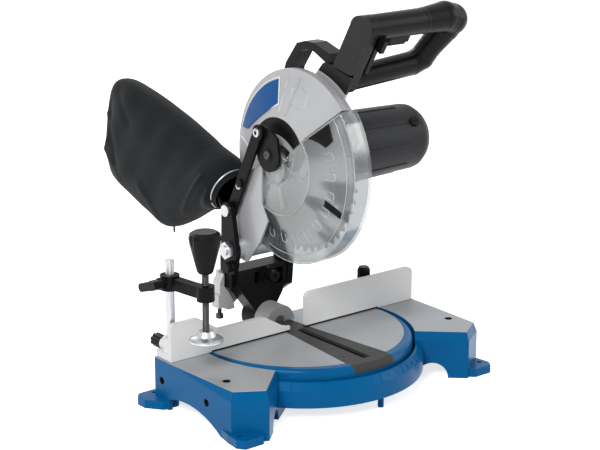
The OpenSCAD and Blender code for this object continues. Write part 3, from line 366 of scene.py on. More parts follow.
def paint_gap_shadow(made):
    """Paints the gap's shadow on a finish: it turns dark low on the fence, within the height and half width
    set above.
    """
    tree = made.node_tree
    shader = tree.nodes["Principled BSDF"]
    plain = shader.inputs["Base Color"].links[0].from_socket
    x, _, z = add(tree, "SeparateXYZ", {0: object_place(tree)}).outputs
    low = calc(tree, "LESS_THAN", z, SHADOW_TOP)
    near = calc(tree, "LESS_THAN", calc(tree, "ABSOLUTE", x), SHADOW_HALF)
    gap_shadow = calc(tree, "MULTIPLY", low, near)
    fill(tree, shader, {"Base Color": blend_colour(tree, gap_shadow, plain, SHADOW)})


# the fences get the painted gap shadow
paint_gap_shadow(finish["fence_paint"])
print("fences are dark below", round(SHADOW_TOP, 4), "m")

# %% [markdown]
# The handle is moulded in two halves, so a fine parting line runs round it. The line lies in the
# plane through the grip and the lower bar, and the distance to that plane draws it as a bump, which
# leaves the solid alone. The grey cap on the handle's end has a crosshatched grip pattern made of
# two sets of ribs.

# %% Handle finishes
def handle_plane():
    """Unit vectors across the handle's flat plane and along it, and a point in the plane."""
    along = np.array([0.0, GRIP_Y - LOW_Y, GRIP_H - LOW_H])
    along /= np.linalg.norm(along)
    return np.array([0.0, -along[2], along[1]]), along, spot(0.0, GRIP_Y, GRIP_H)


def make_handle_plastic():
    """Satin black plastic with a shallow groove where the distance to the parting plane is small."""
    made, tree, shader, rounded = start_material("handle_plastic", 0.0012)
    across, _, point = handle_plane()
    away = vector_calc(tree, "SUBTRACT", object_place(tree), tuple(point))
    distance = calc(tree, "ABSOLUTE", vector_calc(tree, "DOT_PRODUCT", away, tuple(across)))
    groove = ramp(tree, distance, 0.0002, 0.0006, 0.0, 1.0)
    skin = use_group(tree, grain, {"Scale": 1500.0, "Depth": 0.22, "Normal": rounded})
    slow = use_group(tree, patches, {"Scale": 20.0}).outputs[0]
    cut = {"Strength": 0.6, "Distance": 0.0006, "Height": groove, "Normal": skin.outputs["Normal"]}
    looks = {
        "Base Color": blend_colour(tree, groove, (0.0015, 0.0015, 0.0015, 1), (0.006, 0.0063, 0.0075, 1)),
        "Roughness": ramp(tree, slow, 0.0, 1.0, 0.22, 0.3),
        "Normal": add(tree, "Bump", cut).outputs[0],
        "Specular IOR Level": 0.12,
    }
    fill(tree, shader, looks)
    return made


def make_cap_plastic():
    """Dark grey plastic with two crossing sets of ribs, about 2.4 mm apart."""
    made, tree, shader, rounded = start_material("cap_plastic", 0.001)
    across, along, _ = handle_plane()
    one_way, other_way = (tuple(way * 300.0) for way in (along + across, along - across))
    first = use_group(tree, ribs, {"Way": one_way, "Depth": 0.22, "Normal": rounded})
    second = use_group(tree, ribs, {"Way": other_way, "Depth": 0.22, "Normal": first.outputs["Normal"]})
    crossed = calc(tree, "ADD", first.outputs["Value"], second.outputs["Value"])
    # the rib crests are coloured lighter than the grooves between them
    crest_tone = ramp(tree, crossed, -2.0, 2.0, 0.0, 1.0)
    looks = {
        "Base Color": blend_colour(tree, crest_tone, (0.014, 0.0143, 0.0152, 1), (0.026, 0.0265, 0.028, 1)),
        "Roughness": 0.5,
        "Normal": second.outputs["Normal"],
        "Specular IOR Level": 0.15,
    }
    fill(tree, shader, looks)
    return made


finish["handle_plastic"] = make_handle_plastic()
finish["cap_plastic"] = make_cap_plastic()
print("with the handle's:", len(finish), "finishes")

# %% [markdown]
# The head casting is bright silver on the guard and painted black where the handle and the dust
# port join it. It is one solid, so two masks find those places: points that are both far from the
# axle and high above it, and points close to the port.

# %% Head casting finish
NECK_R, NECK_RISE, PORT_R, BLUR = 0.1115, 0.0545, 0.0335, 0.0005
PORT_MID = spot(PORT_X, PORT_Y - 11, PORT_H - 5)


def make_head_silver():
    """Bright casting that turns black far above the axle and close round the dust port."""
    made, tree, shader, rounded = start_material("cast_silver", 0.0012)
    place = object_place(tree)
    slow = use_group(tree, patches, {"Scale": 16.0}).outputs[0]
    skin = use_group(tree, grain, {"Scale": 1100.0, "Depth": 0.1, "Normal": rounded})
    out = vector_calc(tree, "SUBTRACT", place, tuple(axle))
    radius = vector_calc(tree, "LENGTH", vector_calc(tree, "MULTIPLY", out, (0.0, 1.0, 1.0)))
    height = add(tree, "SeparateXYZ", {0: out}).outputs["Z"]
    high = ramp(tree, height, NECK_RISE, NECK_RISE + BLUR, 0.0, 1.0)
    neck = calc(tree, "MULTIPLY", ramp(tree, radius, NECK_R, NECK_R + BLUR, 0.0, 1.0), high)
    mouth = vector_calc(tree, "LENGTH", vector_calc(tree, "SUBTRACT", place, tuple(PORT_MID)))
    port = ramp(tree, mouth, PORT_R, PORT_R + BLUR, 1.0, 0.0)
    dark = calc(tree, "MAXIMUM", neck, port)
    metal = blend_colour(tree, slow, (0.5, 0.504, 0.514, 1), (0.44, 0.445, 0.458, 1))
    looks = {
        "Base Color": blend_colour(tree, dark, metal, (0.006, 0.006, 0.0065, 1)),
        "Roughness": ramp(tree, slow, 0.0, 1.0, 0.26, 0.36),
        "Metallic": ramp(tree, dark, 0.0, 1.0, 0.3, 0.0),
        "Specular IOR Level": 0.14,
        "Normal": skin.outputs["Normal"],
    }
    fill(tree, shader, looks)
    return made


finish["cast_silver"] = make_head_silver()
print("head turns black beyond", NECK_R, "m from the axle")

# %% [markdown]
# The blade is ground in circles round its bore. Its radius, worked out in the shader from the
# distance to the axle, drives fine rings in the roughness and a darker band near the teeth.

# %% Blade steel
BAND_START, BAND_FULL = 0.094, 0.098


def make_blade_steel():
    """Circular grinding: noise that depends on the radius alone, plus a dull band at the teeth."""
    made, tree, shader, rounded = start_material("blade_steel", 0.0003)
    out = vector_calc(tree, "SUBTRACT", object_place(tree), tuple(axle))
    flat = vector_calc(tree, "MULTIPLY", out, (0.0, 1.0, 1.0))
    radius = vector_calc(tree, "LENGTH", flat)
    along = add(tree, "CombineXYZ", {"X": calc(tree, "MULTIPLY", radius, 1500.0)}).outputs[0]
    noise = {"Vector": along, "Scale": 1.0, "Detail": 5.0, "Roughness": 0.7}
    rings = add(tree, "TexNoise", noise).outputs[0]
    band = ramp(tree, radius, BAND_START, BAND_FULL, 0.0, 1.0)
    streaks = ramp(tree, rings, 0.35, 0.65, 0.0, 1.0)
    tone = blend_colour(tree, streaks, (0.66, 0.665, 0.675, 1), (0.5, 0.505, 0.515, 1))
    bump = {"Strength": 0.15, "Distance": 0.0002, "Height": rings, "Normal": rounded}
    looks = {
        "Base Color": blend_colour(tree, band, tone, (0.30, 0.305, 0.315, 1)),
        "Roughness": ramp(tree, rings, 0.3, 0.7, 0.36, 0.5),
        "Normal": add(tree, "Bump", bump).outputs[0],
        "Metallic": 1.0,
    }
    fill(tree, shader, looks)
    return made


finish["blade_steel"] = make_blade_steel()
print("blade is dull from", BAND_START, "m outwards")

# %% [markdown]
# The swinging guard is clear polycarbonate. A thin clear shell needs no bending of light, so it is
# made of a see-through part that darkens towards grazing angles, a mirror part that grows there,
# and a faint milky part for the fine scratches that such a guard always has.

# %% Clear guard
def make_clear(name, milk_low, milk_high):
    """See-through, mirror and milky parts: the angle sets the mirror's share, scratches the milk's."""
    made, tree, shader, rounded = start_material(name, 0.0006)
    tree.nodes.remove(shader)
    lines = use_group(tree, hairlines, {"Stretch": (500.0, 30.0, 420.0), "Depth": 0.04, "Normal": rounded})
    facing = add(tree, "LayerWeight", {"Blend": 0.35, "Normal": rounded}).outputs["Facing"]
    tint = blend_colour(tree, facing, (0.86, 0.875, 0.88, 1), (0.40, 0.42, 0.43, 1))
    through = add(tree, "BsdfTransparent", {"Color": tint}).outputs[0]
    gloss = {"Color": (1, 1, 1, 1), "Roughness": 0.1, "Normal": lines.outputs["Normal"]}
    mirror = add(tree, "BsdfGlossy", gloss).outputs[0]
    milky = add(tree, "BsdfDiffuse", {"Color": (0.72, 0.735, 0.74, 1)}).outputs[0]
    haze = ramp(tree, lines.outputs["Value"], 0.35, 0.75, milk_low, milk_high)
    body = add(tree, "MixShader", {0: haze, 1: through, 2: milky}).outputs[0]
    shine = ramp(tree, facing, 0.0, 1.0, 0.04, 0.32)
    whole = add(tree, "MixShader", {0: shine, 1: body, 2: mirror}).outputs[0]
    fill(tree, tree.nodes["Material Output"], {"Surface": whole})
    return made


finish["clear_guard"] = make_clear("clear_guard", 0.03, 0.09)
finish["clear_rib"] = make_clear("clear_rib", 0.36, 0.52)
print("with the clear ones:", len(finish), "finishes")

# %% [markdown]
# The dust bag is black cloth. Two crossing sets of ribs make the weave, which needs no picture and
# no unwrapping. Each point of the bag carries a number that grows to 1 at its sewn edges, and that
# number marks a line of stitches there.

# %% Bag cloth
def make_cloth():
    """Matt weave: crossed ribs, patchy colour and a stitched line where the seam number is near 0.9."""
    made, tree, shader, rounded = start_material("bag_cloth", 0.0008)
    weft = use_group(tree, ribs, {"Way": (0.0, 850.0, 0.0), "Depth": 0.25, "Normal": rounded})
    warp = use_group(tree, ribs, {"Way": (0.0, 0.0, 850.0), "Depth": 0.25, "Normal": weft.outputs["Normal"]})
    skin = use_group(tree, grain, {"Scale": 500.0, "Depth": 0.3, "Normal": warp.outputs["Normal"]})
    slow = use_group(tree, patches, {"Scale": 22.0}).outputs[0]
    seam = add(tree, "Attribute", attribute_name="seam").outputs["Fac"]
    line = ramp(tree, calc(tree, "ABSOLUTE", calc(tree, "SUBTRACT", seam, 0.9)), 0.004, 0.012, 1.0, 0.0)
    cloth = blend_colour(tree, slow, (0.0038, 0.0048, 0.006, 1), (0.0054, 0.0066, 0.008, 1))
    looks = {
        "Base Color": blend_colour(tree, calc(tree, "MULTIPLY", line, 0.55), cloth, (0.006, 0.006, 0.006, 1)),
        "Roughness": 0.8,
        "Normal": skin.outputs["Normal"],
        "Specular IOR Level": 0.16,
        "Sheen Weight": 0.05,
        "Sheen Roughness": 0.5,
    }
    fill(tree, shader, looks)
    return made


finish["bag_cloth"] = make_cloth()
print("all finishes:", sorted(finish))

# %% [markdown]
# ## Dressing the CAD pieces
# Each node takes one finish.

# %% Assign finishes
wears = {
    "base_paint": ["base_casting"],
    "table_top": ["turntable"],
    "fence_paint": ["fence_left", "fence_right"],
    "insert_plastic": ["table_insert"],
    "cast_silver": ["head_casting"],
    "bracket_grey": ["tilt_bracket"],
    "black_casting": ["tilt_arm", "guard_link", "clamp_arm"],
    "black_plastic": [
        "fence_knob", "laser_module", "head_lock_pin", "brush_caps", "fan", "guard_cover", "switch_body",
        "dust_port", "arm_knob", "clamp_knob", "post_thumbscrew", "guard_release", "trigger", "bag_ring",
    ],
    "handle_plastic": ["handle", "carry_handle"],
    "cap_plastic": ["handle_cap"],
    "motor_plastic": ["motor_housing", "motor_end_cap"],
    "panel_blue": ["guard_panel"],
    "zinc_steel": [
        "fence_screws", "turntable_bolt", "bevel_bolt", "pivot_shaft", "return_spring", "link_pin",
        "rotor_bearings", "arbor_bearings", "arbor", "driven_gear", "inner_flange", "outer_flange",
        "clamp_post", "clamp_pad",
    ],
    "dark_steel": ["insert_screws", "bevel_stop_screw", "brushes", "blade_bolt", "strap_screws"],
    "thread_steel": ["clamp_spindle"],
    "inner_metal": ["stator", "armature"],
    "blade_steel": ["saw_blade"],
    "clear_guard": ["lower_guard"],
    "bag_cloth": ["dust_bag"],
}
for name, members in wears.items():
    for member in members:
        nodes[member].data.materials.clear()
        nodes[member].data.materials.append(finish[name])
print("nodes without a finish:", sorted(set(nodes) - {m for ms in wears.values() for m in ms}))

# %% [markdown]
# ## Grids of points
# Every added piece below is a surface: a function of two numbers gives a grid of points, and the
# grid becomes quads. A grid may close on itself along its second number, as a ring does. Whole
# arrays are worked out at once, which is fast, and a changed number gives a new shape at once.

# %% Grid tools
def flow(points, count):
    """A smooth curve through the points: each stretch is a cubic set by the points on both sides of it."""
    p = np.asarray(points, float)
    p = np.vstack([2 * p[0] - p[1], p, 2 * p[-1] - p[-2]])
    t = np.linspace(0, len(points) - 1, count)
    i = np.minimum(t.astype(int), len(points) - 2)
    f = (t - i)[:, None]
    a, b, c, d = p[i], p[i + 1], p[i + 2], p[i + 3]
    return 0.5 * (2 * b + (c - a) * f + (2 * a - 5 * b + 4 * c - d) * f**2 + (3 * b - a - 3 * c + d) * f**3)


def quads_of(rows, columns, closed):
    """Corner numbers of a grid's quads, row by row; a closed grid joins its last column to its first."""
    r, c = np.meshgrid(np.arange(rows - 1), np.arange(columns if closed else columns - 1), indexing="ij")
    here, right = r * columns + c, r * columns + (c + 1) % columns
    return np.stack([here, right, right + columns, here + columns], -1).reshape(-1, 4)


def surface(name, grids, closed, look, body):
    """Makes one smooth mesh from grids of points in metres and lets it move with a CAD body."""
    points, faces, count = [], [], 0
    for grid in grids:
        points.append(grid.reshape(-1, 3))
        faces.append(quads_of(*grid.shape[:2], closed) + count)
        count += len(points[-1])
    mesh = bpy.data.meshes.new(name)
    mesh.from_pydata(np.vstack(points).tolist(), [], np.vstack(faces).tolist())
    mesh.polygons.foreach_set("use_smooth", np.ones(len(mesh.polygons), bool))
    mesh.materials.append(look)
    made = bpy.data.objects.new(name, mesh)
    bpy.context.scene.collection.objects.link(made)
    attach(made, body)
    print(name, "has", len(mesh.polygons), "quads")
    return made


def unit(v):
    """Vectors scaled to length 1."""
    return v / np.linalg.norm(v, axis=-1, keepdims=True)


def tangent_of(line, closed):
    """Directions along a line of points."""
    step = np.roll(line, -1, 0) - np.roll(line, 1, 0) if closed else np.gradient(line, axis=0)
    return unit(step)


def bead(line, lift, width, height, closed=False, count=7):
    """A half-round strip along a line: cosine across times half the width, sine outwards times the height."""
    side = unit(np.cross(np.broadcast_to(lift, line.shape), tangent_of(line, closed)))
    turn = np.linspace(0, math.pi, count)[:, None, None]
    return line + side * np.cos(turn) * width / 2 + lift * np.sin(turn) * height


def tube(line, radius, closed=False, count=12):
    """A round rod along a line: cosine and sine of the turn, times the radius, on two cross directions."""
    way = tangent_of(line, closed)
    first = unit(np.cross(way, np.array([0.31, 0.17, 0.93])))
    second = np.cross(way, first)
    turn = np.linspace(0, 2 * math.pi, count)[:, None, None]
    return line + radius * (first * np.cos(turn) + second * np.sin(turn))


# %% [markdown]
# ## Dust bag
# The bag is a loft. Each station along it has an upper and a lower edge point, a half thickness
# and a squareness, and smooth curves run through the stations. It starts round on the port's ring,
# flattens to a pillow with sewn edges, sags towards its lower side and closes in a thin seam. A
# cloth simulation could fold it too, but here each fold can be put where the real bag has one.

# %% Sew the bag
BAG_STATIONS = [
    # upper y, upper h, lower y, lower h, half thickness, squareness
    [-24, 15.5, -4.5, -29.5, 25.0, 2.0],
    [-20, 21, 2, -30, 27.6, 2.0],
    [-15, 29, 10, -32, 33.0, 2.0],
    [-4, 37.5, 24, -34, 34.2, 2.0],
    [20, 47, 46, -46, 31.5, 2.1],
    [60, 63, 74, -62, 28.5, 2.3],
    [114, 80, 112, -76, 26, 2.7],
    [162, 92, 150, -66, 25, 2.8],
    [204, 99, 200, -50, 22, 2.8],
    [231, 93, 236, -39, 17, 2.6],
    [247, 74, 250, -30, 9, 2.3],
    [252, 62, 254, -22, 1.0, 2.0],
]
# each fold runs between two points (y, h) and has a width and a depth
BAG_FOLDS = [
    ((6, 14), (60, -46), 3.4, 3.0),
    ((2, -2), (42, -44), 3.4, -3.0),
    ((-2, -14), (52, -54), 3.2, 2.6),
    ((14, 24), (96, -56), 8.0, 1.4),
    ((22, 42), (84, 44), 6.0, -1.4),
    ((232, 66), (216, -8), 7.0, -2.0),
    ((251, -4), (234, 16), 4.0, 2.4),
    ((248, 4), (206, -32), 6.0, 1.8),
    ((210, 86), (180, 50), 7.0, -1.6),
    ((112, -68), (152, -28), 6.0, 1.8),
    ((240, 50), (222, 40), 4.0, 1.8),
]


def bag_grid(rows=110, columns=120):
    """Each ring is a rounded rectangle between its edge points; folds and slow waves move it sideways."""
    s = flow(BAG_STATIONS, rows)
    upper, lower, half, square = s[:, None, 0:2], s[:, None, 2:4], s[:, 4:5], s[:, 5:6]
    turn = np.linspace(0, 2 * math.pi, columns, endpoint=False)
    c, d = np.cos(turn)[None], np.sin(turn)[None]
    across = np.sign(c) * np.abs(c) ** (2 / square)
    out = np.sign(d) * np.abs(d) ** (2 / square)
    yh = (upper + lower) / 2 + across[..., None] * (upper - lower) / 2
    sag = 1 - 0.12 * across * np.clip(np.linspace(0, 6, rows)[:, None], 0, 1)
    x = half * out * sag
    calm = np.clip(1 - np.abs(across) ** 6, 0, 1) * np.clip(np.linspace(0, 8, rows)[:, None], 0, 1)
    y, h = yh[..., 0], yh[..., 1]
    push = 1.1 * np.sin(y / 19 + 1.3) * np.sin(h / 16) + 0.7 * np.sin(y / 9 + h / 13)
    for start, end, width, depth in BAG_FOLDS:
        way = np.subtract(end, start).astype(float)
        share = np.clip(((yh - start) @ way) / (way @ way), 0, 1)[..., None]
        gap = np.linalg.norm(yh - (np.array(start) + share * way), axis=-1)
        push = push + depth * np.exp(-((gap / width) ** 2))
    x = x + np.sign(out) * push * calm
    return spot(PORT_X + x, PORT_Y + y, PORT_H + h), np.abs(across)


bag_points, bag_seam = bag_grid()
bag = surface("bag_shell", [bag_points], True, finish["bag_cloth"], "head")
bag.data.attributes.new("seam", "FLOAT", "POINT").data.foreach_set("value", bag_seam.ravel())
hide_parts("dust_bag")

# %% [markdown]
# A sprung wire holds the bag's mouth on the port, and a short cloth tab hangs from its lowest corner.
# Both are round rods: a circle of points carried along a line.

# %% Mouth wire and tab
def port_circle(along, radius, count=96):
    """A circle round the dust port's axis; along is the distance out on the axis, in millimetres."""
    turn = np.linspace(0, 2 * math.pi, count, endpoint=False)
    rise = radius * np.sin(turn)
    y = PORT_Y + along * math.cos(PORT_TILT) - rise * math.sin(PORT_TILT)
    h = PORT_H + along * math.sin(PORT_TILT) + rise * math.cos(PORT_TILT)
    return spot(PORT_X + radius * np.cos(turn), y, h)


wire_loop = tube(port_circle(-9.0, 27.6), 0.0011, True)
surface("bag_wire", [wire_loop], True, finish["zinc_steel"], "head")
TAB_Y, TAB_H, TAB_LENGTH = PORT_Y + 111, PORT_H - 73, 11
hang = np.linspace(0, 1, 12)
tab_line = spot(PORT_X + 0 * hang, TAB_Y + 0.6 * np.sin(3 * hang), TAB_H - TAB_LENGTH * hang)
surface("bag_tab", [tube(tab_line, 0.0012)], False, finish["bag_cloth"], "head")

# %% [markdown]
# ## Moulded lines on the clear guard
# The guard's left face is a flat cap that turns into a cone. A place on it is given by a radius and
# an angle round the axle, counted from the back over the top. Thin beads follow such places. They
# are too fine for the solid model, but on a clear piece they catch most of the light.

# %% Places on the guard
CAP_R, RIM_R, CAP_X, RIM_X = 57.0, 117.0, -31.0, -14.0
BOLT_Y, BOLT_H = 8.0, 13.0


def on_guard(radius, degrees, lift=0.0):
    """Points on the clear guard's outer face: flat inside the cap's radius, then a cone out to the rim."""
    turn = np.radians(degrees)
    x = CAP_X + np.clip(radius - CAP_R, 0, None) * (RIM_X - CAP_X) / (RIM_R - CAP_R) - lift
    return spot(x, AXLE_Y + radius * np.cos(turn), AXLE_H + radius * np.sin(turn))


def from_bolt(radius, degrees):
    """Turns a radius and an angle round the cover plate's bolt into ones round the axle."""
    turn = np.radians(degrees)
    y, h = BOLT_Y + radius * np.cos(turn), BOLT_H + radius * np.sin(turn)
    return np.hypot(y, h), np.degrees(np.arctan2(h, y)) % 360


LEFT = np.array([-1.0, 0.0, 0.0])
steps = np.linspace(0, 1, 60)
lines = [
    # the cap's edge, two rings round the bolt, two rings near the rim, and the guard's two ends
    on_guard(CAP_R + 0 * steps, 142 + 153 * steps),
    on_guard(*from_bolt(37 + 0 * steps, 176 + 112 * steps)),
    on_guard(*from_bolt(25 + 0 * steps, 196 + 44 * steps)),
    on_guard(RIM_R - 0.8 + 0 * steps, 141 + 155 * steps),
    on_guard(106 + 0 * steps, 141 + 155 * steps),
    on_guard(58 + 58 * steps, 140.8 + 0 * steps),
    on_guard(58 + 58 * steps, 296.6 + 0 * steps),
]
# spokes from the bolt, then a row of small U shapes on the cone
for angle, start, end in ((203, 22, 58), (251, 22, 64), (255, 22, 64), (278, 22, 38)):
    lines.append(on_guard(*from_bolt(start + (end - start) * steps, angle + 0 * steps)))
for angle in np.arange(163, 290, 15):
    square = np.array([[80, -2.6], [90, -2.6], [90, 2.6], [80, 2.6]])
    lines.append(on_guard(*(flow(square, 40) + [0, angle]).T))
beads = [bead(line, LEFT, 0.0011, 0.0007) for line in lines]
surface("guard_lines", beads, False, finish["clear_rib"], "guard")

# %% [markdown]
# Two dark pieces sit on the cone: a narrow radial strip at the front and a rough black pad under
# the guard's upper edge. Both are thin four-cornered patches that rise a little from their edges.

# %% Dark patches
def patch(corners, inset, lift, count=24):
    """A patch on the cone between four corners (radius, angle), lifted by lift towards its middle."""
    a, b, c, d = (np.array(corner, float) for corner in corners)
    u, v = np.meshgrid(np.linspace(0, 1, count), np.linspace(0, 1, count), indexing="ij")
    u, v = u[..., None], v[..., None]
    flat = (a * (1 - u) + b * u) * (1 - v) + (d * (1 - u) + c * u) * v
    edge = np.minimum(np.minimum(u, 1 - u), np.minimum(v, 1 - v))[..., 0]
    return on_guard(flat[..., 0], flat[..., 1], lift * np.clip(edge / inset, 0, 1))


strip = patch([(81, 197.5), (106, 200.5), (106, 205), (81, 203.5)], 0.08, 0.9)
pad = patch([(66, 141.5), (98, 141.5), (96, 153), (84, 156)], 0.15, 1.2)
surface("guard_marks", [strip, pad], False, finish["black_plastic"], "guard")

# %% [markdown]
# Round screw heads show on the link bar and on the guard's cover plate. Each is a profile turned
# round the screw's axis, which runs along x.

# %% Screw heads
def screw_head(x, y, h, radius, height, count=28):
    """A turned head on a face at x, facing left: flat rim, rounded shoulder and a shallow dish."""
    across = [1.0, 1.0, 0.92, 0.75, 0.45, 0.4, 0.0]
    rise = [0.0, 0.55, 0.85, 1.0, 1.0, 0.7, 0.7]
    r, out = (flow(np.stack([across, rise], -1), 36) * [radius, height]).T[..., None]
    turn = np.linspace(0, 2 * math.pi, count, endpoint=False)[None]
    return spot(x - out + 0 * turn, y + r * np.cos(turn), h + r * np.sin(turn))


LINK_FACE, COVER_FACE = -43.0, -39.2
link_heads = [
    screw_head(LINK_FACE, 22.0, 240.6, 5.6, 3.0),
    screw_head(LINK_FACE, 57.0, 171.0, 4.4, 2.2),
]
surface("link_heads", link_heads, True, finish["zinc_steel"], "link")
cover_head = screw_head(COVER_FACE, AXLE_Y + BOLT_Y, AXLE_H + BOLT_H, 5.2, 1.8)
surface("cover_head", [cover_head], True, finish["dark_steel"], "guard")

# %% [markdown]
# The blue panel on the fixed guard has a thin white border, a bead that follows a loop on the
# guard's cone: an arc along the guard's edge and two straight sides.

# %% Panel border
UPPER_R, UPPER_X, UPPER_SLOPE = 108.8, -3.0, 22.5 / 51.8


def on_upper(y, h, lift=0.0):
    """Points on the fixed guard's left face, y and h from the axle: flat inside the cap, then a cone."""
    inside = UPPER_R - np.clip(np.hypot(y, h), CAP_R, UPPER_R)
    return spot(UPPER_X - inside * UPPER_SLOPE - lift, AXLE_Y + y, AXLE_H + h)


def between(a, b, count=40):
    """Evenly spaced points from a to b, without b."""
    return np.array(a) + np.linspace(0, 1, count, endpoint=False)[:, None] * np.subtract(b, a)


PANEL_R, PANEL_CORNER = 99.6, (11.2, 69.2)
arc = np.radians(np.linspace(16.2, 75.2, 80))
outer = PANEL_R * np.stack([np.cos(arc), np.sin(arc)], -1)
loop = np.vstack([outer, between(outer[-1], PANEL_CORNER), between(PANEL_CORNER, outer[0])])
border = bead(on_upper(*loop.T, 0.2), LEFT, 0.0024, 0.0009, True)
surface("panel_border", [border], True, finish["panel_white"], "head")

# %% [markdown]
# Above the hub the fixed guard has a dark crescent opening and, higher up, a faint raised
# outline with six straight sides. The opening is a dark patch just proud of the guard, because a
# real cut would only show the dark inside.

# %% Crescent and raised outline
CRESCENT_Y, CRESCENT_H = 6, 8


def crescent(start, end, inner, outer, count=40):
    """A band between two radii round a point near the axle; it narrows to points at both ends."""
    u, v = np.meshgrid(np.linspace(0, 1, count), np.linspace(0, 1, 10), indexing="ij")
    width = (outer - inner) * np.clip(4 * u * (1 - u), 0, 1) ** 0.4
    radius, turn = outer - width * v, np.radians(start + (end - start) * u)
    y, h = CRESCENT_Y + radius * np.cos(turn), CRESCENT_H + radius * np.sin(turn)
    return on_upper(y, h, 0.25)


opening = crescent(38, 172, 27, 47)
surface("guard_opening", [opening], False, finish["black_plastic"], "head")
raised = np.array([(-22, 68), (-6, 72), (-4, 90), (-16, 92), (-30, 84), (-30, 70)], float)
raised_line = np.vstack([between(a, b, 20) for a, b in zip(raised, np.roll(raised, -1, 0))])
outline = bead(on_upper(*raised_line.T), LEFT, 0.002, 0.0006, True)
surface("guard_outline", [outline], True, finish["cast_silver"], "head")

# %% [markdown]
# The insert's front end folds over the table's rounded edge. The lip is a patch that runs flat from
# the insert's end, then round the shoulder and straight down, a little proud of the casting.

# %% Insert lip
TABLE_MID, TABLE_R, SHOULDER = -11.0, 128.0, 5.0
LIP_HALF, LIP_START, LIP_DROP = 30.0, -123.6, 9.5
SIDE_STEEP, END_STEEP = 40, 30


def lip_grid(proud=0.3, columns=40):
    """At each x: out along the flat top, a quarter circle over the edge, then down; the sides sink in."""
    x = np.linspace(-LIP_HALF, LIP_HALF, columns)[:, None]
    edge_r = TABLE_R - SHOULDER
    flat_end = TABLE_MID - np.sqrt(edge_r**2 - x**2)
    share = np.linspace(0, 1, 12)[None]
    bend = np.radians(np.linspace(0, 90, 12))[None]
    down = np.linspace(0, 1, 8)[None, 1:]
    rows = share.size + bend.size + down.size
    u, v = np.meshgrid(np.linspace(0, 1, columns), np.linspace(0, 1, rows), indexing="ij")
    edge = np.minimum(np.minimum(u, 1 - u) * SIDE_STEEP, np.minimum(v, 1 - v) * END_STEEP)
    lift = proud * np.clip(edge * 2 - 1, -1, 1)
    a, b, c = np.split(lift, [share.size, share.size + bend.size], axis=1)
    round_r = edge_r + (SHOULDER + b) * np.sin(bend)
    y = np.hstack([
        LIP_START + (flat_end - LIP_START) * share,
        TABLE_MID - np.sqrt(round_r**2 - x**2),
        TABLE_MID - np.sqrt((TABLE_R + c) ** 2 - x**2),
    ])
    h = np.hstack([
        a,
        -SHOULDER + (SHOULDER + b) * np.cos(bend),
        -SHOULDER - (LIP_DROP - SHOULDER) * down + 0 * c,
    ])
    return spot(x + 0 * y, y, h)


surface("insert_lip", [lip_grid()], False, finish["insert_plastic"], "table")

# %% [markdown]
# ## Camera
# The camera stands where the photograph was taken: to the left of the saw and a little above it,
# with a long lens. Its place was found by matching corners of the table, fences and blade circle.

# %% Camera
AZIMUTH, ELEVATION, ROLL = math.radians(-39.14), math.radians(15.83), math.radians(0.18)
EYE, FOCAL = Vector((-1.1703, -1.398, 0.7119)), 99.5
flat_back = math.cos(ELEVATION)
back = Vector((math.sin(AZIMUTH) * flat_back, -math.cos(AZIMUTH) * flat_back, math.sin(ELEVATION)))
lens = bpy.data.cameras.new("photo_camera")
lens.sensor_width, lens.lens = 36.0, FOCAL
lens.clip_start, lens.clip_end = 0.05, 30.0
camera = bpy.data.objects.new("photo_camera", lens)
bpy.context.scene.collection.objects.link(camera)
turn = (-back).to_track_quat("-Z", "Y").to_matrix().to_4x4() @ Matrix.Rotation(ROLL, 4, "Z")
camera.matrix_world = Matrix.Translation(EYE) @ turn
bpy.context.scene.camera = camera
print("camera at", [round(c, 3) for c in camera.matrix_world.translation])

# %% [markdown]
# ## Studio
# The floor is pale and keeps a soft shadow. It glows a little for the camera and in reflections, so
# that it runs into the white background without more light on the saw. Three large soft lamps light
# the saw: a key from the front left, a fill from the right and a rim lamp from behind.

# %% Floor and light
FLOOR_HALF, FLOOR_GLOW, SKY_LIGHT = 6.0, 0.74, 0.28


def pale_rays(tree):
    """1 for rays from the camera and for those that gloss or clear pieces send on, and 0 for the rest."""
    rays = add(tree, "LightPath").outputs
    onward = calc(tree, "MAXIMUM", rays["Is Glossy Ray"], rays["Is Transmission Ray"])
    return calc(tree, "MAXIMUM", rays["Is Camera Ray"], onward)


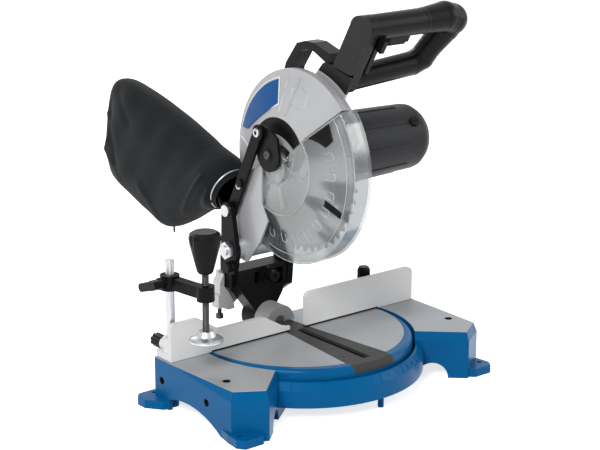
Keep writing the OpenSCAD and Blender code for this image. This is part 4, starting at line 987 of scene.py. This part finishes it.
def make_floor():
    """One square of pale floor under the saw, with a white glow that lights nothing."""
    corners = [(x * FLOOR_HALF, y * FLOOR_HALF, 0) for x, y in ((-1, -1), (1, -1), (1, 1), (-1, 1))]
    mesh = bpy.data.meshes.new("floor")
    mesh.from_pydata(corners, [], [(0, 1, 2, 3)])
    made = bpy.data.materials.new("floor_white")
    made.use_nodes = True
    tree = made.node_tree
    tree.nodes.remove(tree.nodes["Principled BSDF"])
    paint = add(tree, "BsdfDiffuse", {"Color": (0.9, 0.9, 0.9, 1)}).outputs[0]
    glow = calc(tree, "MULTIPLY", pale_rays(tree), FLOOR_GLOW)
    light = add(tree, "Emission", {"Color": (1, 1, 1, 1), "Strength": glow}).outputs[0]
    both = add(tree, "AddShader", {0: paint, 1: light}).outputs[0]
    fill(tree, tree.nodes["Material Output"], {"Surface": both})
    mesh.materials.append(made)
    floor = bpy.data.objects.new("floor", mesh)
    bpy.context.scene.collection.objects.link(floor)
    return floor


def soft_lamp(name, place, aim, size, power):
    """A square lamp of the given size and power, turned towards aim."""
    light = bpy.data.lights.new(name, "AREA")
    light.size, light.energy = size, power
    lamp = bpy.data.objects.new(name, light)
    bpy.context.scene.collection.objects.link(lamp)
    way = Vector(aim) - Vector(place)
    turn = way.to_track_quat("-Z", "Y").to_matrix().to_4x4()
    lamp.matrix_world = Matrix.Translation(Vector(place)) @ turn
    return lamp


floor = make_floor()
lamps = [
    soft_lamp("key", (-2.1, -1.25, 2.1), (0, 0.05, 0.2), 1.2, 74.0),
    soft_lamp("fill", (2.0, -1.4, 1.2), (0, 0.0, 0.2), 1.4, 19.0),
    soft_lamp("rim", (0.6, 2.2, 1.8), (0, 0.1, 0.25), 1.4, 26.0),
]
world = bpy.data.worlds.new("studio")
world.use_nodes = True
bpy.context.scene.world = world
sky = world.node_tree
strength = ramp(sky, pale_rays(sky), 0.0, 1.0, SKY_LIGHT, 1.0)
fill(sky, sky.nodes["Background"], {"Color": (1, 1, 1, 1), "Strength": strength})
bpy.context.scene.view_settings.view_transform = "Standard"
print("lamps:", [o.name for o in lamps])
